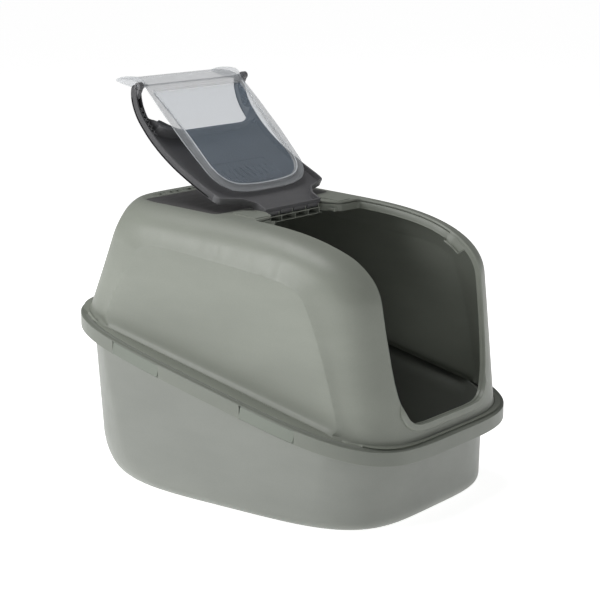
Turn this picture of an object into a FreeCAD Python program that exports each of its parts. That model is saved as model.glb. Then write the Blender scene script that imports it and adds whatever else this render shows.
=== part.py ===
import FreeCAD, Part
import math
import os

import Sketcher
from FreeCAD import Placement, Rotation, Vector

# Cat litter box with hood: an open pan with a slanted rim, a hood that stands on the rim, a front
# panel hinged to the hood's top, a clear swing flap hung on the panel's two legs, a filter cover
# over a carbon filter, and four clips on the rim.  Millimetres, +Z up, front towards -Y, origin on
# the floor under the middle of the rim.  At rest the front panel is swung open.

doc = FreeCAD.newDocument("litter_box")

# ---------------------------------------------------------------------------------------------
# Driving dimensions
# ---------------------------------------------------------------------------------------------
DIMENSIONS = {
    "overall_length": 657.0,
    "overall_width": 493.0,
    "rim_middle_height": 211.5,
    "rim_slope": 0.2365,
    "rim_depth": 23.0,
    "rim_skin": 2.5,
    "wall": 2.6,
    "pan_front": 297.0,
    "pan_back": 315.0,
    "pan_half_width": 230.0,
    "pan_base_front": 298.0,
    "pan_base_back": 311.0,
    "pan_base_half_width": 219.0,
    "pan_round_front": 22.0,
    "pan_round_back": 70.0,
    "flange_half_width": 231.5,
    "flange_front": 317.5,
    "flange_back": 321.0,
    "flange_thickness": 3.5,
    "rest_gap": 0.3,
    "hood_front": 313.0,
    "hood_back": 318.0,
    "hood_half_width": 215.5,
    "hood_front_lean": 44.0,
    "hood_back_lean": 95.0,
    "hood_front_round": 205.0,
    "hood_back_round": 6.0,
    "hood_side_round": 60.0,
    "hood_shoulder_start": 0.69,
    "top_middle_height": 459.5,
    "top_slope": 0.0636,
    "opening_half_width": 143.0,
    "sill_height": 160.0,
    "opening_back": -35.0,
    "rebate_depth": 15.0,
    "rebate_lip": 12.0,
    "hinge_y": 1.7,
    "hinge_z": 455.0,
    "hinge_pin_radius": 3.0,
    "running_gap": 0.08,
    "panel_open_angle": 153.2,
    "panel_skin": 3.0,
    "panel_skirt": 12.0,
    "panel_half_width": 140.5,
    "pivot_reach": 283.3,
    "pivot_below": 17.0,
    "flap_pin_radius": 3.0,
    "flap_length": 234.0,
    "flap_half_width": 126.5,
    "flap_skin": 1.8,
    "flap_lean": 45.4,
    "visor_reach": 62.0,
    "cover_half_width": 153.0,
    "cover_front": 34.0,
    "cover_back": 186.0,
    "cover_thickness": 2.4,
    "filter_width": 150.0,
    "filter_length": 104.0,
    "filter_thickness": 8.0,
    "clip_length": 100.0,
    "clip_thickness": 2.6,
    "clip_height": 21.0,
}

sheet = doc.addObject("Spreadsheet::Sheet", "dimensions")
for row, (alias, value) in enumerate(DIMENSIONS.items(), start=1):
    sheet.set("A%d" % row, alias)
    sheet.set("B%d" % row, "%g" % value)
    sheet.setAlias("B%d" % row, alias)
doc.recompute()


def dim(alias):
    """The value of one cell of the sheet."""
    return float(sheet.get(alias))


def cell(alias):
    """The expression that binds a property to one cell of the sheet."""
    return "dimensions." + alias


# ---------------------------------------------------------------------------------------------
# Reference surfaces and outlines
# ---------------------------------------------------------------------------------------------
SIDE_CROWN = 0.025
END_CROWN = 0.006


def rim_plane(y):
    """Height of the slanted rim, low at the front and high at the back."""
    return dim("rim_middle_height") + dim("rim_slope") * y


def top_plane(y):
    """Height of the hood's nearly level top."""
    return dim("top_middle_height") + dim("top_slope") * y


def arc(centre, radius, start, end):
    """An arc between two angles; a falling angle runs clockwise."""
    angles = (start, (start + end) / 2, end)
    return Part.Arc(*[centre + Vector(math.cos(a), math.sin(a)) * radius for a in angles]).toShape()


def quadrant(half_length, half_width, corner):
    """Centres, radii and meeting angles of the three tangent arcs in one quarter of an outline."""
    side_drop = corner + SIDE_CROWN * half_width
    end_drop = corner + END_CROWN * half_width
    centre = Vector(half_width - side_drop, half_length - end_drop)
    side_radius = (side_drop ** 2 + centre.y ** 2 - corner ** 2) / (2 * (side_drop - corner))
    end_radius = (end_drop ** 2 + centre.x ** 2 - corner ** 2) / (2 * (end_drop - corner))
    side_centre = Vector(half_width - side_radius, 0)
    end_centre = Vector(0, half_length - end_radius)
    side_angle = math.atan2(centre.y, centre.x - side_centre.x)
    end_angle = math.atan2(centre.y - end_centre.y, centre.x)
    return (side_centre, side_radius, side_angle), (centre, corner), (end_centre, end_radius, end_angle)


def outline(front, back, half_width, corners, plane):
    """A rounded rectangle with crowned sides, sheared onto a plane given as height and slope.

    corners holds the front and the back corner radius as shares of the half width.
    """
    middle = Vector(0, (back - front) / 2)
    half_length = (back + front) / 2
    edges = []
    for end, corner in ((1, corners[1]), (-1, corners[0])):
        side, turn, cap = quadrant(half_length, half_width, corner * half_width)
        quarter = [
            arc(side[0], side[1], 0, side[2]),
            arc(turn[0], turn[1], side[2], cap[2]),
        ]
        cap_arc = arc(cap[0], cap[1], cap[2], math.pi - cap[2])
        other = [edge.mirror(Vector(), Vector(1, 0, 0)) for edge in quarter]
        half = quarter + [cap_arc] + other[::-1]
        if end < 0:
            half = [edge.mirror(Vector(), Vector(0, 1, 0)) for edge in half[::-1]]
        edges += half
    wire = Part.Wire(edges)
    wire.translate(middle)
    shear = FreeCAD.Matrix(1, 0, 0, 0, 0, 1, 0, 0, 0, plane[1], 1, plane[0])
    return wire.transformGeometry(shear)


def loft(wires):
    """A closed solid through a list of outlines."""
    shape = Part.makeLoft(wires, True, True)
    return shape if shape.Volume > 0 else shape.reversed()


def rim_level(offset):
    """The plane at an offset above the rim, as height and slope."""
    return dim("rim_middle_height") + offset, dim("rim_slope")


RIM_CORNERS = (0.566, 0.566)


def rim_outline(inset, offset):
    """The rim's outline, moved in by inset, at offset above the rim's plane."""
    length = dim("overall_length") / 2 - inset
    width = dim("overall_width") / 2 - inset
    return outline(length, length, width, RIM_CORNERS, rim_level(offset))


def rim_tier(inset, low, high):
    """A slice of the rim between two heights measured from the rim's plane."""
    return loft([rim_outline(inset, low), rim_outline(inset, high)])


def prism(points, direction):
    """A straight prism on a closed outline, given as points or as edges."""
    wire = Part.Wire(points) if isinstance(points[0], Part.Edge) else Part.makePolygon(points + points[:1])
    return Part.Face(wire).extrude(direction)


def smooth(points):
    curve = Part.BSplineCurve()
    curve.interpolate(points)
    return curve.toShape()


def line(start, end):
    return Part.LineSegment(start, end).toShape()


def box(low, high):
    size = Vector(*high) - Vector(*low)
    return Part.makeBox(size.x, size.y, size.z, Vector(*low))


def add_part(label, shape, placement=None):
    """One sub-part whose shape is built from the sheet's values."""
    feature = doc.addObject("Part::Feature", label)
    feature.Label = label
    feature.Shape = shape
    if placement is not None:
        feature.Placement = placement
    return feature


def blend(start, end, fraction):
    return start + (end - start) * fraction


# ---------------------------------------------------------------------------------------------
# Pan
# ---------------------------------------------------------------------------------------------
PAN_STATIONS = [0.0, 0.03, 0.09, 0.18, 0.32, 0.55, 0.8, 1.0]
PAN_MIDDLE_HEIGHT = 190.0


def quarter_round(height, radius):
    """How far a rounded bottom edge lies inside the wall at a height above the floor."""
    below = max(0.0, 1 - height / radius)
    return radius * (1 - math.sqrt(1 - below ** 2))


def pan_outline(station, wall, floor, lift):
    """The pan's outline from the floor, station 0, to the rim, station 1."""
    height = station * PAN_MIDDLE_HEIGHT
    front_inset = quarter_round(height * 0.6, dim("pan_round_front")) + wall
    side_inset = quarter_round(height, dim("pan_round_front")) + wall
    back_inset = quarter_round(height * 1.4, dim("pan_round_back")) + wall
    level, slope = rim_level(lift)
    return outline(
        blend(dim("pan_base_front"), dim("pan_front"), station) - front_inset,
        blend(dim("pan_base_back"), dim("pan_back"), station) - back_inset,
        blend(dim("pan_base_half_width"), dim("pan_half_width"), station) - side_inset,
        (blend(0.56, 0.6, station), blend(0.64, 0.6, station)),
        (blend(floor, level, station), slope * station),
    )


def flange_outline(margin, offset):
    """The hood's foot flange, margin wider all round, at an offset above the rim's plane."""
    return outline(dim("flange_front") + margin, dim("flange_back") + margin,
                   dim("flange_half_width") + margin, RIM_CORNERS, rim_level(offset))


def clip_recess(side, centre, gap):
    """The length of rim band that one clip fills, with a gap all round."""
    half = dim("clip_length") / 2 + gap
    outer = dim("overall_width") / 2 + 20
    low, high = sorted((side * (outer - 60), side * outer))
    return box((low, centre - half, 0), (high, centre + half, 600))


CLIP_CENTRES = {"back": 129.0, "front": -136.0}
CLIP_DROP = 1.2
CLIP_GAP = 0.5
CLIP_END_GAP = 1.1
CLIP_PIN_RADIUS = 1.6
CLIP_PIN_INSET = 3.0
CLIP_PIN_DROP = 21.0


def rim_half_width(y):
    """Half the rim's width at y, on the long arc of its side."""
    half_width = dim("overall_width") / 2
    (_, radius, _), _, _ = quadrant(dim("overall_length") / 2, half_width, RIM_CORNERS[0] * half_width)
    return half_width - radius + math.sqrt(radius ** 2 - y ** 2)


def clip_pin(side, centre, radius, beyond):
    """The rod on which a clip swings, running beyond both ends of the clip."""
    ends = [Vector(side * (rim_half_width(y) - CLIP_PIN_INSET), y, rim_plane(y) - CLIP_PIN_DROP)
            for y in (centre - dim("clip_length") / 2, centre + dim("clip_length") / 2)]
    along = (ends[1] - ends[0]).normalize()
    length = (ends[1] - ends[0]).Length + 2 * beyond
    return Part.makeCylinder(radius, length, ends[0] - along * beyond, along)


def clip_lugs(side, centre):
    """Two blocks behind the band, one at each end of a clip, that hold its rod."""
    tier = rim_tier(0.4, -dim("rim_depth"), -17.5).cut(rim_tier(7.0, -40.0, 10.0))
    near = dim("clip_length") / 2 + CLIP_END_GAP + 0.3
    outer = dim("overall_width") / 2 + 20
    low, high = sorted((side * (outer - 60), side * outer))
    return [tier.common(box((low, y, 0), (high, y + 6, 600))) for y in (centre - near - 6, centre + near)]


def build_pan():
    wall_height = -3.0
    shell = loft([pan_outline(s, 0, 0, wall_height) for s in PAN_STATIONS])
    rim = loft([
        rim_outline(0, -dim("rim_depth")),
        rim_outline(0, -5.0),
        rim_outline(1.5, -1.6),
        rim_outline(4.5, 0.0),
    ])
    ledge_top = -dim("flange_thickness") - dim("rest_gap")
    ledge_bottom = ledge_top - dim("rim_skin")
    cavity = rim_tier(dim("rim_skin"), -dim("rim_depth") - 1, ledge_bottom).cut(shell)
    flange_room = loft([flange_outline(0.8, up) for up in (ledge_top, 2.0)])
    inside = loft([pan_outline(s, dim("wall"), dim("wall"), 4.0) for s in PAN_STATIONS])
    pan = shell.fuse(rim).cut(cavity).cut(flange_room).cut(inside)
    # The band is cut away where each clip lies, down to a thin inner strip.
    strip = rim_tier(dim("clip_thickness") + CLIP_GAP, -40.0, 10.0)
    for side in (-1, 1):
        for centre in CLIP_CENTRES.values():
            recess = clip_recess(side, centre, CLIP_END_GAP).cut(strip)
            below_top = rim_tier(-1.0, -40.0, -CLIP_DROP).common(clip_recess(side, centre, CLIP_END_GAP))
            pan = pan.cut(recess.common(below_top)).fuse(clip_lugs(side, centre))
            pan = pan.cut(clip_pin(side, centre, CLIP_PIN_RADIUS + dim("running_gap"), 4.6))
    return pan


# ---------------------------------------------------------------------------------------------
# Hood
# ---------------------------------------------------------------------------------------------
HOOD_STATIONS = [0.0, 0.25, 0.5, 0.69, 0.76, 0.83, 0.89, 0.94, 0.975, 0.994, 1.0]
FRONT_POWER = 2.4
ROUND_POWER = 2.0


def shoulder(station, start, depth, power):
    """How far the rounded shoulder has turned in at a station."""
    turn = max(0.0, (station - start) / (1 - start))
    return depth * (1 - (1 - turn ** power) ** (1 / power))


def hood_outline(station, inset, drop=0.0):
    """The hood's outline from the rim, station 0, to its top, station 1."""
    start = dim("hood_shoulder_start")
    front = dim("hood_front") - dim("hood_front_lean") * station
    front -= shoulder(station, start, dim("hood_front_round"), FRONT_POWER)
    back = dim("hood_back") - dim("hood_back_lean") * station
    back -= shoulder(station, 0.9, dim("hood_back_round"), ROUND_POWER)
    side = dim("hood_half_width") - shoulder(station, start, dim("hood_side_round"), ROUND_POWER)
    corner = blend(0.51, 0.37, station)
    plane = (blend(dim("rim_middle_height") - drop, dim("top_middle_height") - inset, station),
             blend(dim("rim_slope"), dim("top_slope"), station))
    return outline(front - inset, back - inset, side - inset, (corner, corner), plane)


def hood_body(inset, drop=10.0):
    """The hood's solid form moved in by inset, starting at drop below the rim's plane."""
    return loft([hood_outline(0.0, inset, drop)] + [hood_outline(s, inset) for s in HOOD_STATIONS])


THROAT_HALF_WIDTH = 75.5
THROAT_BACK = 17.0


SILL_CORNER = 48.0
LIP_MARGIN, LIP_DEPTH, LIP_TOP = 13.0, 3.5, 200.0


def opening_prisms(margin):
    """The entrance: one prism through the front and one through the top, margin wider all round."""
    half = dim("opening_half_width") + margin
    sill = dim("sill_height") - margin
    corner = SILL_CORNER
    low_half = half - 8
    front_edges = [
        line(Vector(-half, -400, 520), Vector(-half, -400, 330)),
        smooth([Vector(-half, -400, 330), Vector(-low_half + 4, -400, 250),
                Vector(-low_half + 10, -400, 205)]),
        smooth([Vector(-low_half + 10, -400, 205), Vector(-low_half + 17, -400, sill + 14),
                Vector(-low_half + corner, -400, sill)]),
        line(Vector(-low_half + corner, -400, sill), Vector(low_half - corner, -400, sill)),
        smooth([Vector(low_half - corner, -400, sill), Vector(low_half - 17, -400, sill + 14),
                Vector(low_half - 10, -400, 205)]),
        smooth([Vector(low_half - 10, -400, 205), Vector(low_half - 4, -400, 250), Vector(half, -400, 330)]),
        line(Vector(half, -400, 330), Vector(half, -400, 520)),
        line(Vector(half, -400, 520), Vector(-half, -400, 520)),
    ]
    front = prism(front_edges, Vector(0, 250, 0))
    back_y = dim("opening_back") + margin
    throat = THROAT_HALF_WIDTH + margin
    throat_back = THROAT_BACK + margin
    corners = [(half, -260), (half, back_y), (throat + 20, back_y + 5), (throat, margin - 4),
               (throat, throat_back)]
    points = [Vector(x, y, 380) for x, y in corners + [(-x, y) for x, y in corners[::-1]]]
    return front.fuse(prism(points, Vector(0, 0, 140)))


COVER_GAP = 0.8
COVER_SINK = 3.0
TRAY_GAP = 1.0
TRAY_DEPTH = 14.0
FILTER_MIDDLE = 108.0


def on_top(shape, y, height):
    """Tilts a shape built about its own origin to the hood's top, at y and height above it."""
    tilt = math.degrees(math.atan(dim("top_slope")))
    shape.Placement = Placement(Vector(0, y, top_plane(y) + height), Rotation(Vector(1, 0, 0), tilt))
    return shape


def rounded_block(half_x, half_y, low, high, radius):
    block = box((-half_x, -half_y, low), (half_x, half_y, high))
    upright = [e for e in block.Edges if abs(e.Vertexes[0].Z - e.Vertexes[1].Z) > 0.01]
    return block.makeFillet(radius, upright)


def cover_block(margin, low, high):
    """A block on the filter cover's outline, between two heights measured from the hood's top."""
    half_y = (dim("cover_back") - dim("cover_front")) / 2 + margin
    block = rounded_block(dim("cover_half_width") + margin, half_y, low, high, 12 + margin)
    return on_top(block, (dim("cover_back") + dim("cover_front")) / 2, 0)


COVER_PIN_RADIUS = 0.9
COVER_PIN_EDGE = 1.0
COVER_PIN_END = 156.0


def cover_pin(radius, end):
    """The rod at the cover's front edge on which it turns, reaching to end on both sides."""
    rod = Part.makeCylinder(radius, 2 * end, Vector(-end, 0, 0), Vector(1, 0, 0))
    middle = (dim("cover_back") + dim("cover_front")) / 2
    half = (dim("cover_back") - dim("cover_front")) / 2
    rod.translate(Vector(0, COVER_PIN_EDGE - half, dim("cover_thickness") / 2))
    tilt = math.degrees(math.atan(dim("top_slope")))
    base = Vector(0, middle, top_plane(middle) - COVER_SINK + 0.3)
    rod.Placement = Placement(base, Rotation(Vector(1, 0, 0), tilt)).multiply(rod.Placement)
    return rod


def filter_block(margin, low, high):
    half_x = dim("filter_width") / 2 + margin
    half_y = dim("filter_length") / 2 + margin
    return on_top(rounded_block(half_x, half_y, low, high, 6 + margin), FILTER_MIDDLE, 0)


def slot(length, width, depth):
    """A slot along Y with round ends, cutting from depth below to depth above its own origin."""
    straight = box((-width / 2, -(length - width) / 2, -depth), (width / 2, (length - width) / 2, depth))
    ends = [Part.makeCylinder(width / 2, 2 * depth, Vector(0, sign * (length - width) / 2, -depth))
            for sign in (-1, 1)]
    return straight.fuse(ends)


def grille_slots():
    """Air slots through the floor of the filter's tray."""
    slots = [on_top(slot(84, 5, 3), FILTER_MIDDLE, -TRAY_DEPTH - 1.3) for _ in range(11)]
    for index, cutter in enumerate(slots):
        cutter.translate(Vector(12 * (index - 5), 0, 0))
    return Part.makeCompound(slots)


VENT_Y = 199.0


def back_vents():
    """Six groups of small slots in the strip behind the filter cover."""
    cutters = []
    for group in range(6):
        for index in range(6):
            cutter = on_top(slot(7, 3.2, 4), VENT_Y, 0)
            cutter.translate(Vector((group - 2.5) * 38 + (index - 2.5) * 5.2, 0, 0))
            cutters.append(cutter)
    return Part.makeCompound(cutters)


WING_INNER = 95.0
WING_OUTER = 127.0
WING_FRONT = -27.0
WING_BACK = 25.0
WING_SINK = 1.6


def wing_block(side, margin, low, high):
    """A plate beside the tongue, square in front and round at its outer back corner."""
    half_x = (WING_OUTER - WING_INNER) / 2 + margin
    half_y = (WING_BACK - WING_FRONT) / 2 + margin
    block = box((-half_x, -half_y, low), (half_x, half_y, high))
    corner = [e for e in block.Edges if abs(e.Vertexes[0].Z - e.Vertexes[1].Z) > 0.01
              and e.Vertexes[0].X * side > 0 and e.Vertexes[0].Y > 0]
    block = block.makeFillet(18 + margin, corner)
    on_top(block, (WING_FRONT + WING_BACK) / 2, 0)
    block.translate(Vector(side * (WING_INNER + WING_OUTER) / 2, 0, 0))
    return block


RIB_COUNT = 5
RIB_PITCH = 36.0
RIB_THICKNESS = 3.2


def hinge_box():
    """The pin of the panel's hinge, on ribs over a slotted box at the front of the hood's top."""
    half = RIB_PITCH * (RIB_COUNT - 1) / 2 + RIB_THICKNESS / 2
    y = dim("hinge_y")
    z = dim("hinge_z")
    body = box((-half, y - 10, z - 26), (half, y + 12, z - 13.5))
    for index in range(RIB_COUNT - 1):
        x = (index - (RIB_COUNT - 2) / 2) * RIB_PITCH
        body = body.cut(box((x - 14, y - 11, z - 23), (x + 14, y + 8, z - 16)))
    ribs = []
    for index in range(RIB_COUNT):
        x = (index - (RIB_COUNT - 1) / 2) * RIB_PITCH
        post = box((x - RIB_THICKNESS / 2, y - 4.2, z - 15), (x + RIB_THICKNESS / 2, y + 4.2, z))
        eye = Part.makeCylinder(4.2, RIB_THICKNESS, Vector(x - RIB_THICKNESS / 2, y, z), Vector(1, 0, 0))
        ribs += [post, eye]
    pin = Part.makeCylinder(dim("hinge_pin_radius"), 2 * half, Vector(-half, y, z), Vector(1, 0, 0))
    # The shelf and the riser tie the box to the hood's top behind it.
    reach = THROAT_HALF_WIDTH + 4
    shelf = box((-reach, y + 8, z - 14), (reach, THROAT_BACK + 3, z - 10))
    riser = box((-reach, THROAT_BACK + 0.3, z - 14), (reach, THROAT_BACK + 3, z + 20)).common(hood_body(1.0))
    return body.fuse(ribs + [pin, shelf, riser])


def build_hood():
    wall = dim("wall")
    deep = dim("rebate_depth")
    base = loft([flange_outline(0, up) for up in (-dim("flange_thickness"), 0.0)])
    outer = hood_body(0, dim("flange_thickness"))
    shell = outer.fuse(base).cut(hood_body(wall))
    opening = opening_prisms(0)
    hood = shell.cut(opening)
    # Rebate round the upper opening, where the closed front panel lies flush.
    rebate_zone = box((-200, -292, 385), (200, dim("opening_back") + 2, 520))
    band = hood_body(0.5).cut(hood_body(deep + wall))
    wall_ring = opening_prisms(wall).cut(opening).common(band)
    lip_band = hood_body(deep).cut(hood_body(deep + wall))
    lip_ring = opening.cut(opening_prisms(-dim("rebate_lip"))).common(lip_band)
    hood = hood.fuse([wall_ring.common(rebate_zone), lip_ring.common(rebate_zone)])
    # Stiffening return along the lower front opening.
    low_zone = box((-200, -330, dim("sill_height") - 10), (200, -240, 385.5))
    low_band = hood_body(0.5).cut(hood_body(9.0))
    hood = hood.fuse(opening_prisms(wall).cut(opening).common(low_band).common(low_zone))
    # Raised lip round the lower part of the entrance.
    lip = hood_body(-LIP_DEPTH).cut(hood_body(0.5)).common(opening_prisms(LIP_MARGIN).cut(opening))
    hood = hood.fuse(lip.common(box((-200, -340, dim("sill_height") - 16), (200, -240, LIP_TOP))))
    # Recess for the filter cover, on a floor that also holds the filter's tray.
    hood = hood.cut(cover_block(COVER_GAP, -COVER_SINK, 20))
    hood = hood.fuse(cover_block(wall, -COVER_SINK - wall, -COVER_SINK).common(hood_body(1.0)))
    hood = hood.fuse(filter_block(TRAY_GAP + wall, -TRAY_DEPTH - wall, -COVER_SINK - wall))
    hood = hood.cut(filter_block(TRAY_GAP, -TRAY_DEPTH, 0))
    sockets = cover_pin(COVER_PIN_RADIUS + dim("running_gap"), COVER_PIN_END + 1.2)
    hood = hood.cut(sockets.cut(box((-130, 0, 400), (130, 80, 500))))
    for side in (-1, 1):
        hood = hood.cut(wing_block(side, COVER_GAP, -WING_SINK, 20))
        hood = hood.fuse(wing_block(side, 2.0, -WING_SINK - wall, -WING_SINK).common(hood_body(1.0)))
    hood = hood.cut(opening)
    hood = hood.cut(grille_slots())
    hood = hood.cut(back_vents())
    return hood.fuse(hinge_box())


# ---------------------------------------------------------------------------------------------
# Front panel: built closed, with the hinge's axis as its own origin, then swung open
# ---------------------------------------------------------------------------------------------
PANEL_TOP = [(-8, 1.0), (-60, 0.6), (-105, -0.6), (-150, -4.5), (-190, -12.5), (-225, -24.5), (-256, -41.5),
             (-273.7, -60.0), (-283.5, -78.5)]
NOTCH_REACH = 33.0
SHOULDER_REACH = 44.0
TONGUE_HALF_WIDTH = 72.0
NOTCH_HALF_WIDTH = 92.0
CUTOUT_REACH = 206.0
CUTOUT_HALF_WIDTH = 82.0
TIP_HALF_WIDTH = 108.0
LEG_INNER = 124.0
LEDGE_DEPTH = 22.0
LEDGE_SKIN = 2.5
LEDGE_END = -250.0
LEAF_ROOM = 119.6
LEAF_ROOM_START = -230.0
PIVOT_ROOM = 12.0


def panel_band(depth):
    """The panel's curved section between its top and depth below, over its whole width."""
    half = dim("panel_half_width") + 5
    top = [Vector(-half, y, z) for y, z in PANEL_TOP]
    upper = smooth(top)
    lower = smooth([p + inward(index) * depth for index, p in enumerate(top)])
    ends = [line(upper.Vertexes[0].Point, lower.Vertexes[0].Point),
            line(upper.Vertexes[-1].Point, lower.Vertexes[-1].Point)]
    wire = Part.Wire(Part.__sortEdges__([upper, lower] + ends))
    return Part.Face(wire).extrude(Vector(2 * half, 0, 0))


def inward(index):
    """The unit normal under the panel's top at one of its points."""
    before = PANEL_TOP[max(index - 1, 0)]
    after = PANEL_TOP[min(index + 1, len(PANEL_TOP) - 1)]
    along = Vector(0, after[0] - before[0], after[1] - before[1]).normalize()
    return Vector(0, -along.z, along.y)


def rounded_polygon(corners, radius, low, high):
    """An upright prism on a polygon whose corners are rounded off."""
    solid = prism([Vector(x, y, low) for x, y in corners], Vector(0, 0, high - low))
    upright = [e for e in solid.Edges if abs(e.Vertexes[0].Z - e.Vertexes[1].Z) > 1]
    return solid.makeFillet(radius, upright)


def panel_plan(margin):
    """The panel's outline from above, moved in by margin, with the U cut-out between its legs."""
    half = dim("panel_half_width") - margin
    corners = [
        (TONGUE_HALF_WIDTH - margin, -7 - margin),
        (TONGUE_HALF_WIDTH + 1 - margin, -17 - margin),
        (NOTCH_HALF_WIDTH - margin, -NOTCH_REACH - margin),
        (half - 4, -SHOULDER_REACH - margin),
        (half, -SHOULDER_REACH - 14 - margin),
        (half, -300),
    ]
    whole = rounded_polygon(corners + [(-x, y) for x, y in corners[::-1]], 3.0, -140, 60)
    return whole.cut(cutout(LEG_INNER + margin, -CUTOUT_REACH - 12 + margin, margin))


def cutout(tip_half_width, widen_at, margin):
    """The U cut-out between the legs, reaching its full width at widen_at."""
    points = [
        (CUTOUT_HALF_WIDTH + margin, -CUTOUT_REACH + margin),
        (tip_half_width, widen_at),
        (tip_half_width, -310),
    ]
    return rounded_polygon(points + [(-x, y) for x, y in points[::-1]], 9.0, -150, 70)


KNUCKLE_RADIUS = 5.6
KNUCKLE_GAP = 1.2
SLOT_COUNT = 9
SLOT_PITCH = 15.5
TRAY_NEAR = 79.0
TRAY_FAR = 139.0


def rod_along_x(radius, start, end, y=0.0, z=0.0):
    """A round rod parallel to X."""
    return Part.makeCylinder(radius, end - start, Vector(start, y, z), Vector(1, 0, 0))


TRAY_HALF_WIDTH, TRAY_FRAME, TRAY_RISE = 82.0, 3.0, 1.2
SLOT_LENGTH, SLOT_WIDTH, SLOT_REACH = 25.0, 3.6, 107.0
BOSS_RADIUS = 6.5


def build_panel():
    skin = panel_band(dim("panel_skin")).common(panel_plan(0))
    border = panel_plan(0).cut(panel_plan(dim("panel_skin")))
    skirt = panel_band(dim("panel_skirt")).common(border)
    # Along the U cut-out the skirt is deeper and carries a ledge, on which the visor comes to lie.
    cut_zone = box((-LEG_INNER - 4, -300, -150), (LEG_INNER + 4, -CUTOUT_REACH + 5, 60))
    deep_skirt = panel_band(LEDGE_DEPTH).common(border).common(cut_zone)
    ledge = panel_band(LEDGE_DEPTH).cut(panel_band(LEDGE_DEPTH - LEDGE_SKIN))
    ledge = ledge.common(cutout(LEG_INNER + 2, -CUTOUT_REACH - 12, 2))
    ledge = ledge.cut(cutout(TIP_HALF_WIDTH, -262, 0))
    ledge = ledge.cut(box((-LEG_INNER, -320, -150), (LEG_INNER, LEDGE_END, 60)))
    for side in (-1, 1):
        low, high = sorted((side * LEAF_ROOM, side * LEG_INNER))
        ledge = ledge.cut(box((low, -320, -150), (high, LEAF_ROOM_START, 60)))
    knuckles = []
    for index in range(RIB_COUNT - 1):
        x = (index - (RIB_COUNT - 2) / 2) * RIB_PITCH
        width = RIB_PITCH - RIB_THICKNESS - 2 * KNUCKLE_GAP
        knuckles.append(rod_along_x(KNUCKLE_RADIUS, x - width / 2, x + width / 2))
        knuckles.append(box((x - width / 2, -10, -2), (x + width / 2, 0, 1)))
    panel = skin.fuse([skirt, deep_skirt, ledge] + knuckles)
    bore = dim("hinge_pin_radius") + dim("running_gap")
    panel = panel.cut(rod_along_x(bore, -100, 100))
    # Raised frame of the vent tray, then its slots.
    tray = box((-TRAY_HALF_WIDTH, -TRAY_FAR, -12), (TRAY_HALF_WIDTH, -TRAY_NEAR, 3))
    tray_inside = TRAY_HALF_WIDTH - TRAY_FRAME
    tray = tray.cut(box((-tray_inside, -TRAY_FAR + TRAY_FRAME, -13),
                        (tray_inside, -TRAY_NEAR - TRAY_FRAME, 4)))
    panel = panel.fuse(tray.common(panel_band(dim("panel_skin") + TRAY_RISE)))
    for index in range(SLOT_COUNT):
        cutter = slot(SLOT_LENGTH, SLOT_WIDTH, 8)
        cutter.translate(Vector((index - (SLOT_COUNT - 1) / 2) * SLOT_PITCH, -SLOT_REACH, 0))
        panel = panel.cut(cutter)
    # Leg tips with the bores that carry the flap's pins.
    pivot = panel_pivot()
    room = FLAP_PIN_START + 0.4
    panel = panel.cut(rod_along_x(PIVOT_ROOM, -room, room, pivot.y, pivot.z))
    for side in (-1, 1):
        near = side * (FLAP_PIN_START + 1.2)
        width = dim("panel_half_width") - abs(near)
        start = min(near, side * dim("panel_half_width"))
        boss = rod_along_x(BOSS_RADIUS, start, start + width, pivot.y, pivot.z)
        web = box((start, pivot.y - 14, pivot.z - 4), (start + width, pivot.y, pivot.z + 6))
        web = web.common(panel_band(30))
        panel = panel.fuse([boss, web])
        flap_bore = dim("flap_pin_radius") + dim("running_gap")
        panel = panel.cut(rod_along_x(flap_bore, side * 125 - 20, side * 125 + 20, pivot.y, pivot.z))
    return panel.removeSplitter()


def panel_pivot():
    """The flap's axis while the panel is closed, from the hinge's axis."""
    drop = math.radians(dim("pivot_below"))
    return Vector(0, -math.cos(drop) * dim("pivot_reach"), -math.sin(drop) * dim("pivot_reach"))


FLAP_PIN_START = 128.0

# ---------------------------------------------------------------------------------------------
# Flap: built flat with its pins' axis as its own origin, hanging along +Y
# ---------------------------------------------------------------------------------------------


def flap_outline(inset):
    """The flap's outline: straight sides and a wide round lower end."""
    half = dim("flap_half_width") - inset
    bottom = dim("flap_length") - inset
    top = inset * 0.6 + 1.0
    corner = 62.0 - inset * 0.5
    slanted = half - 3
    points = [Vector(slanted, top), Vector(half, bottom - corner - 30)]
    mid_corner = Vector(half - corner * 0.29 - 2, bottom - corner * 0.31)
    end = Vector(half - corner - 2, bottom - 3.0)
    mirror = [Vector(-p.x, p.y) for p in points]
    edges = [
        line(points[0], points[1]),
        Part.Arc(points[1], mid_corner, end).toShape(),
        Part.Arc(end, Vector(0, bottom), Vector(-end.x, end.y)).toShape(),
        Part.Arc(Vector(-end.x, end.y), Vector(-mid_corner.x, mid_corner.y), mirror[1]).toShape(),
        line(mirror[1], mirror[0]),
        line(mirror[0], points[0]),
    ]
    return Part.Wire(edges)


def flap_plate(inset, low, high):
    face = Part.Face(flap_outline(inset))
    plate = face.extrude(Vector(0, 0, high - low))
    plate.translate(Vector(0, 0, low))
    return plate


VISOR_ANGLE = 134.6
LEAF_THICKNESS, ROOT_RADIUS = 2.2, 2.6
VISOR_HALF_WIDTH = 121.0
BORDER = 17.0


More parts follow.
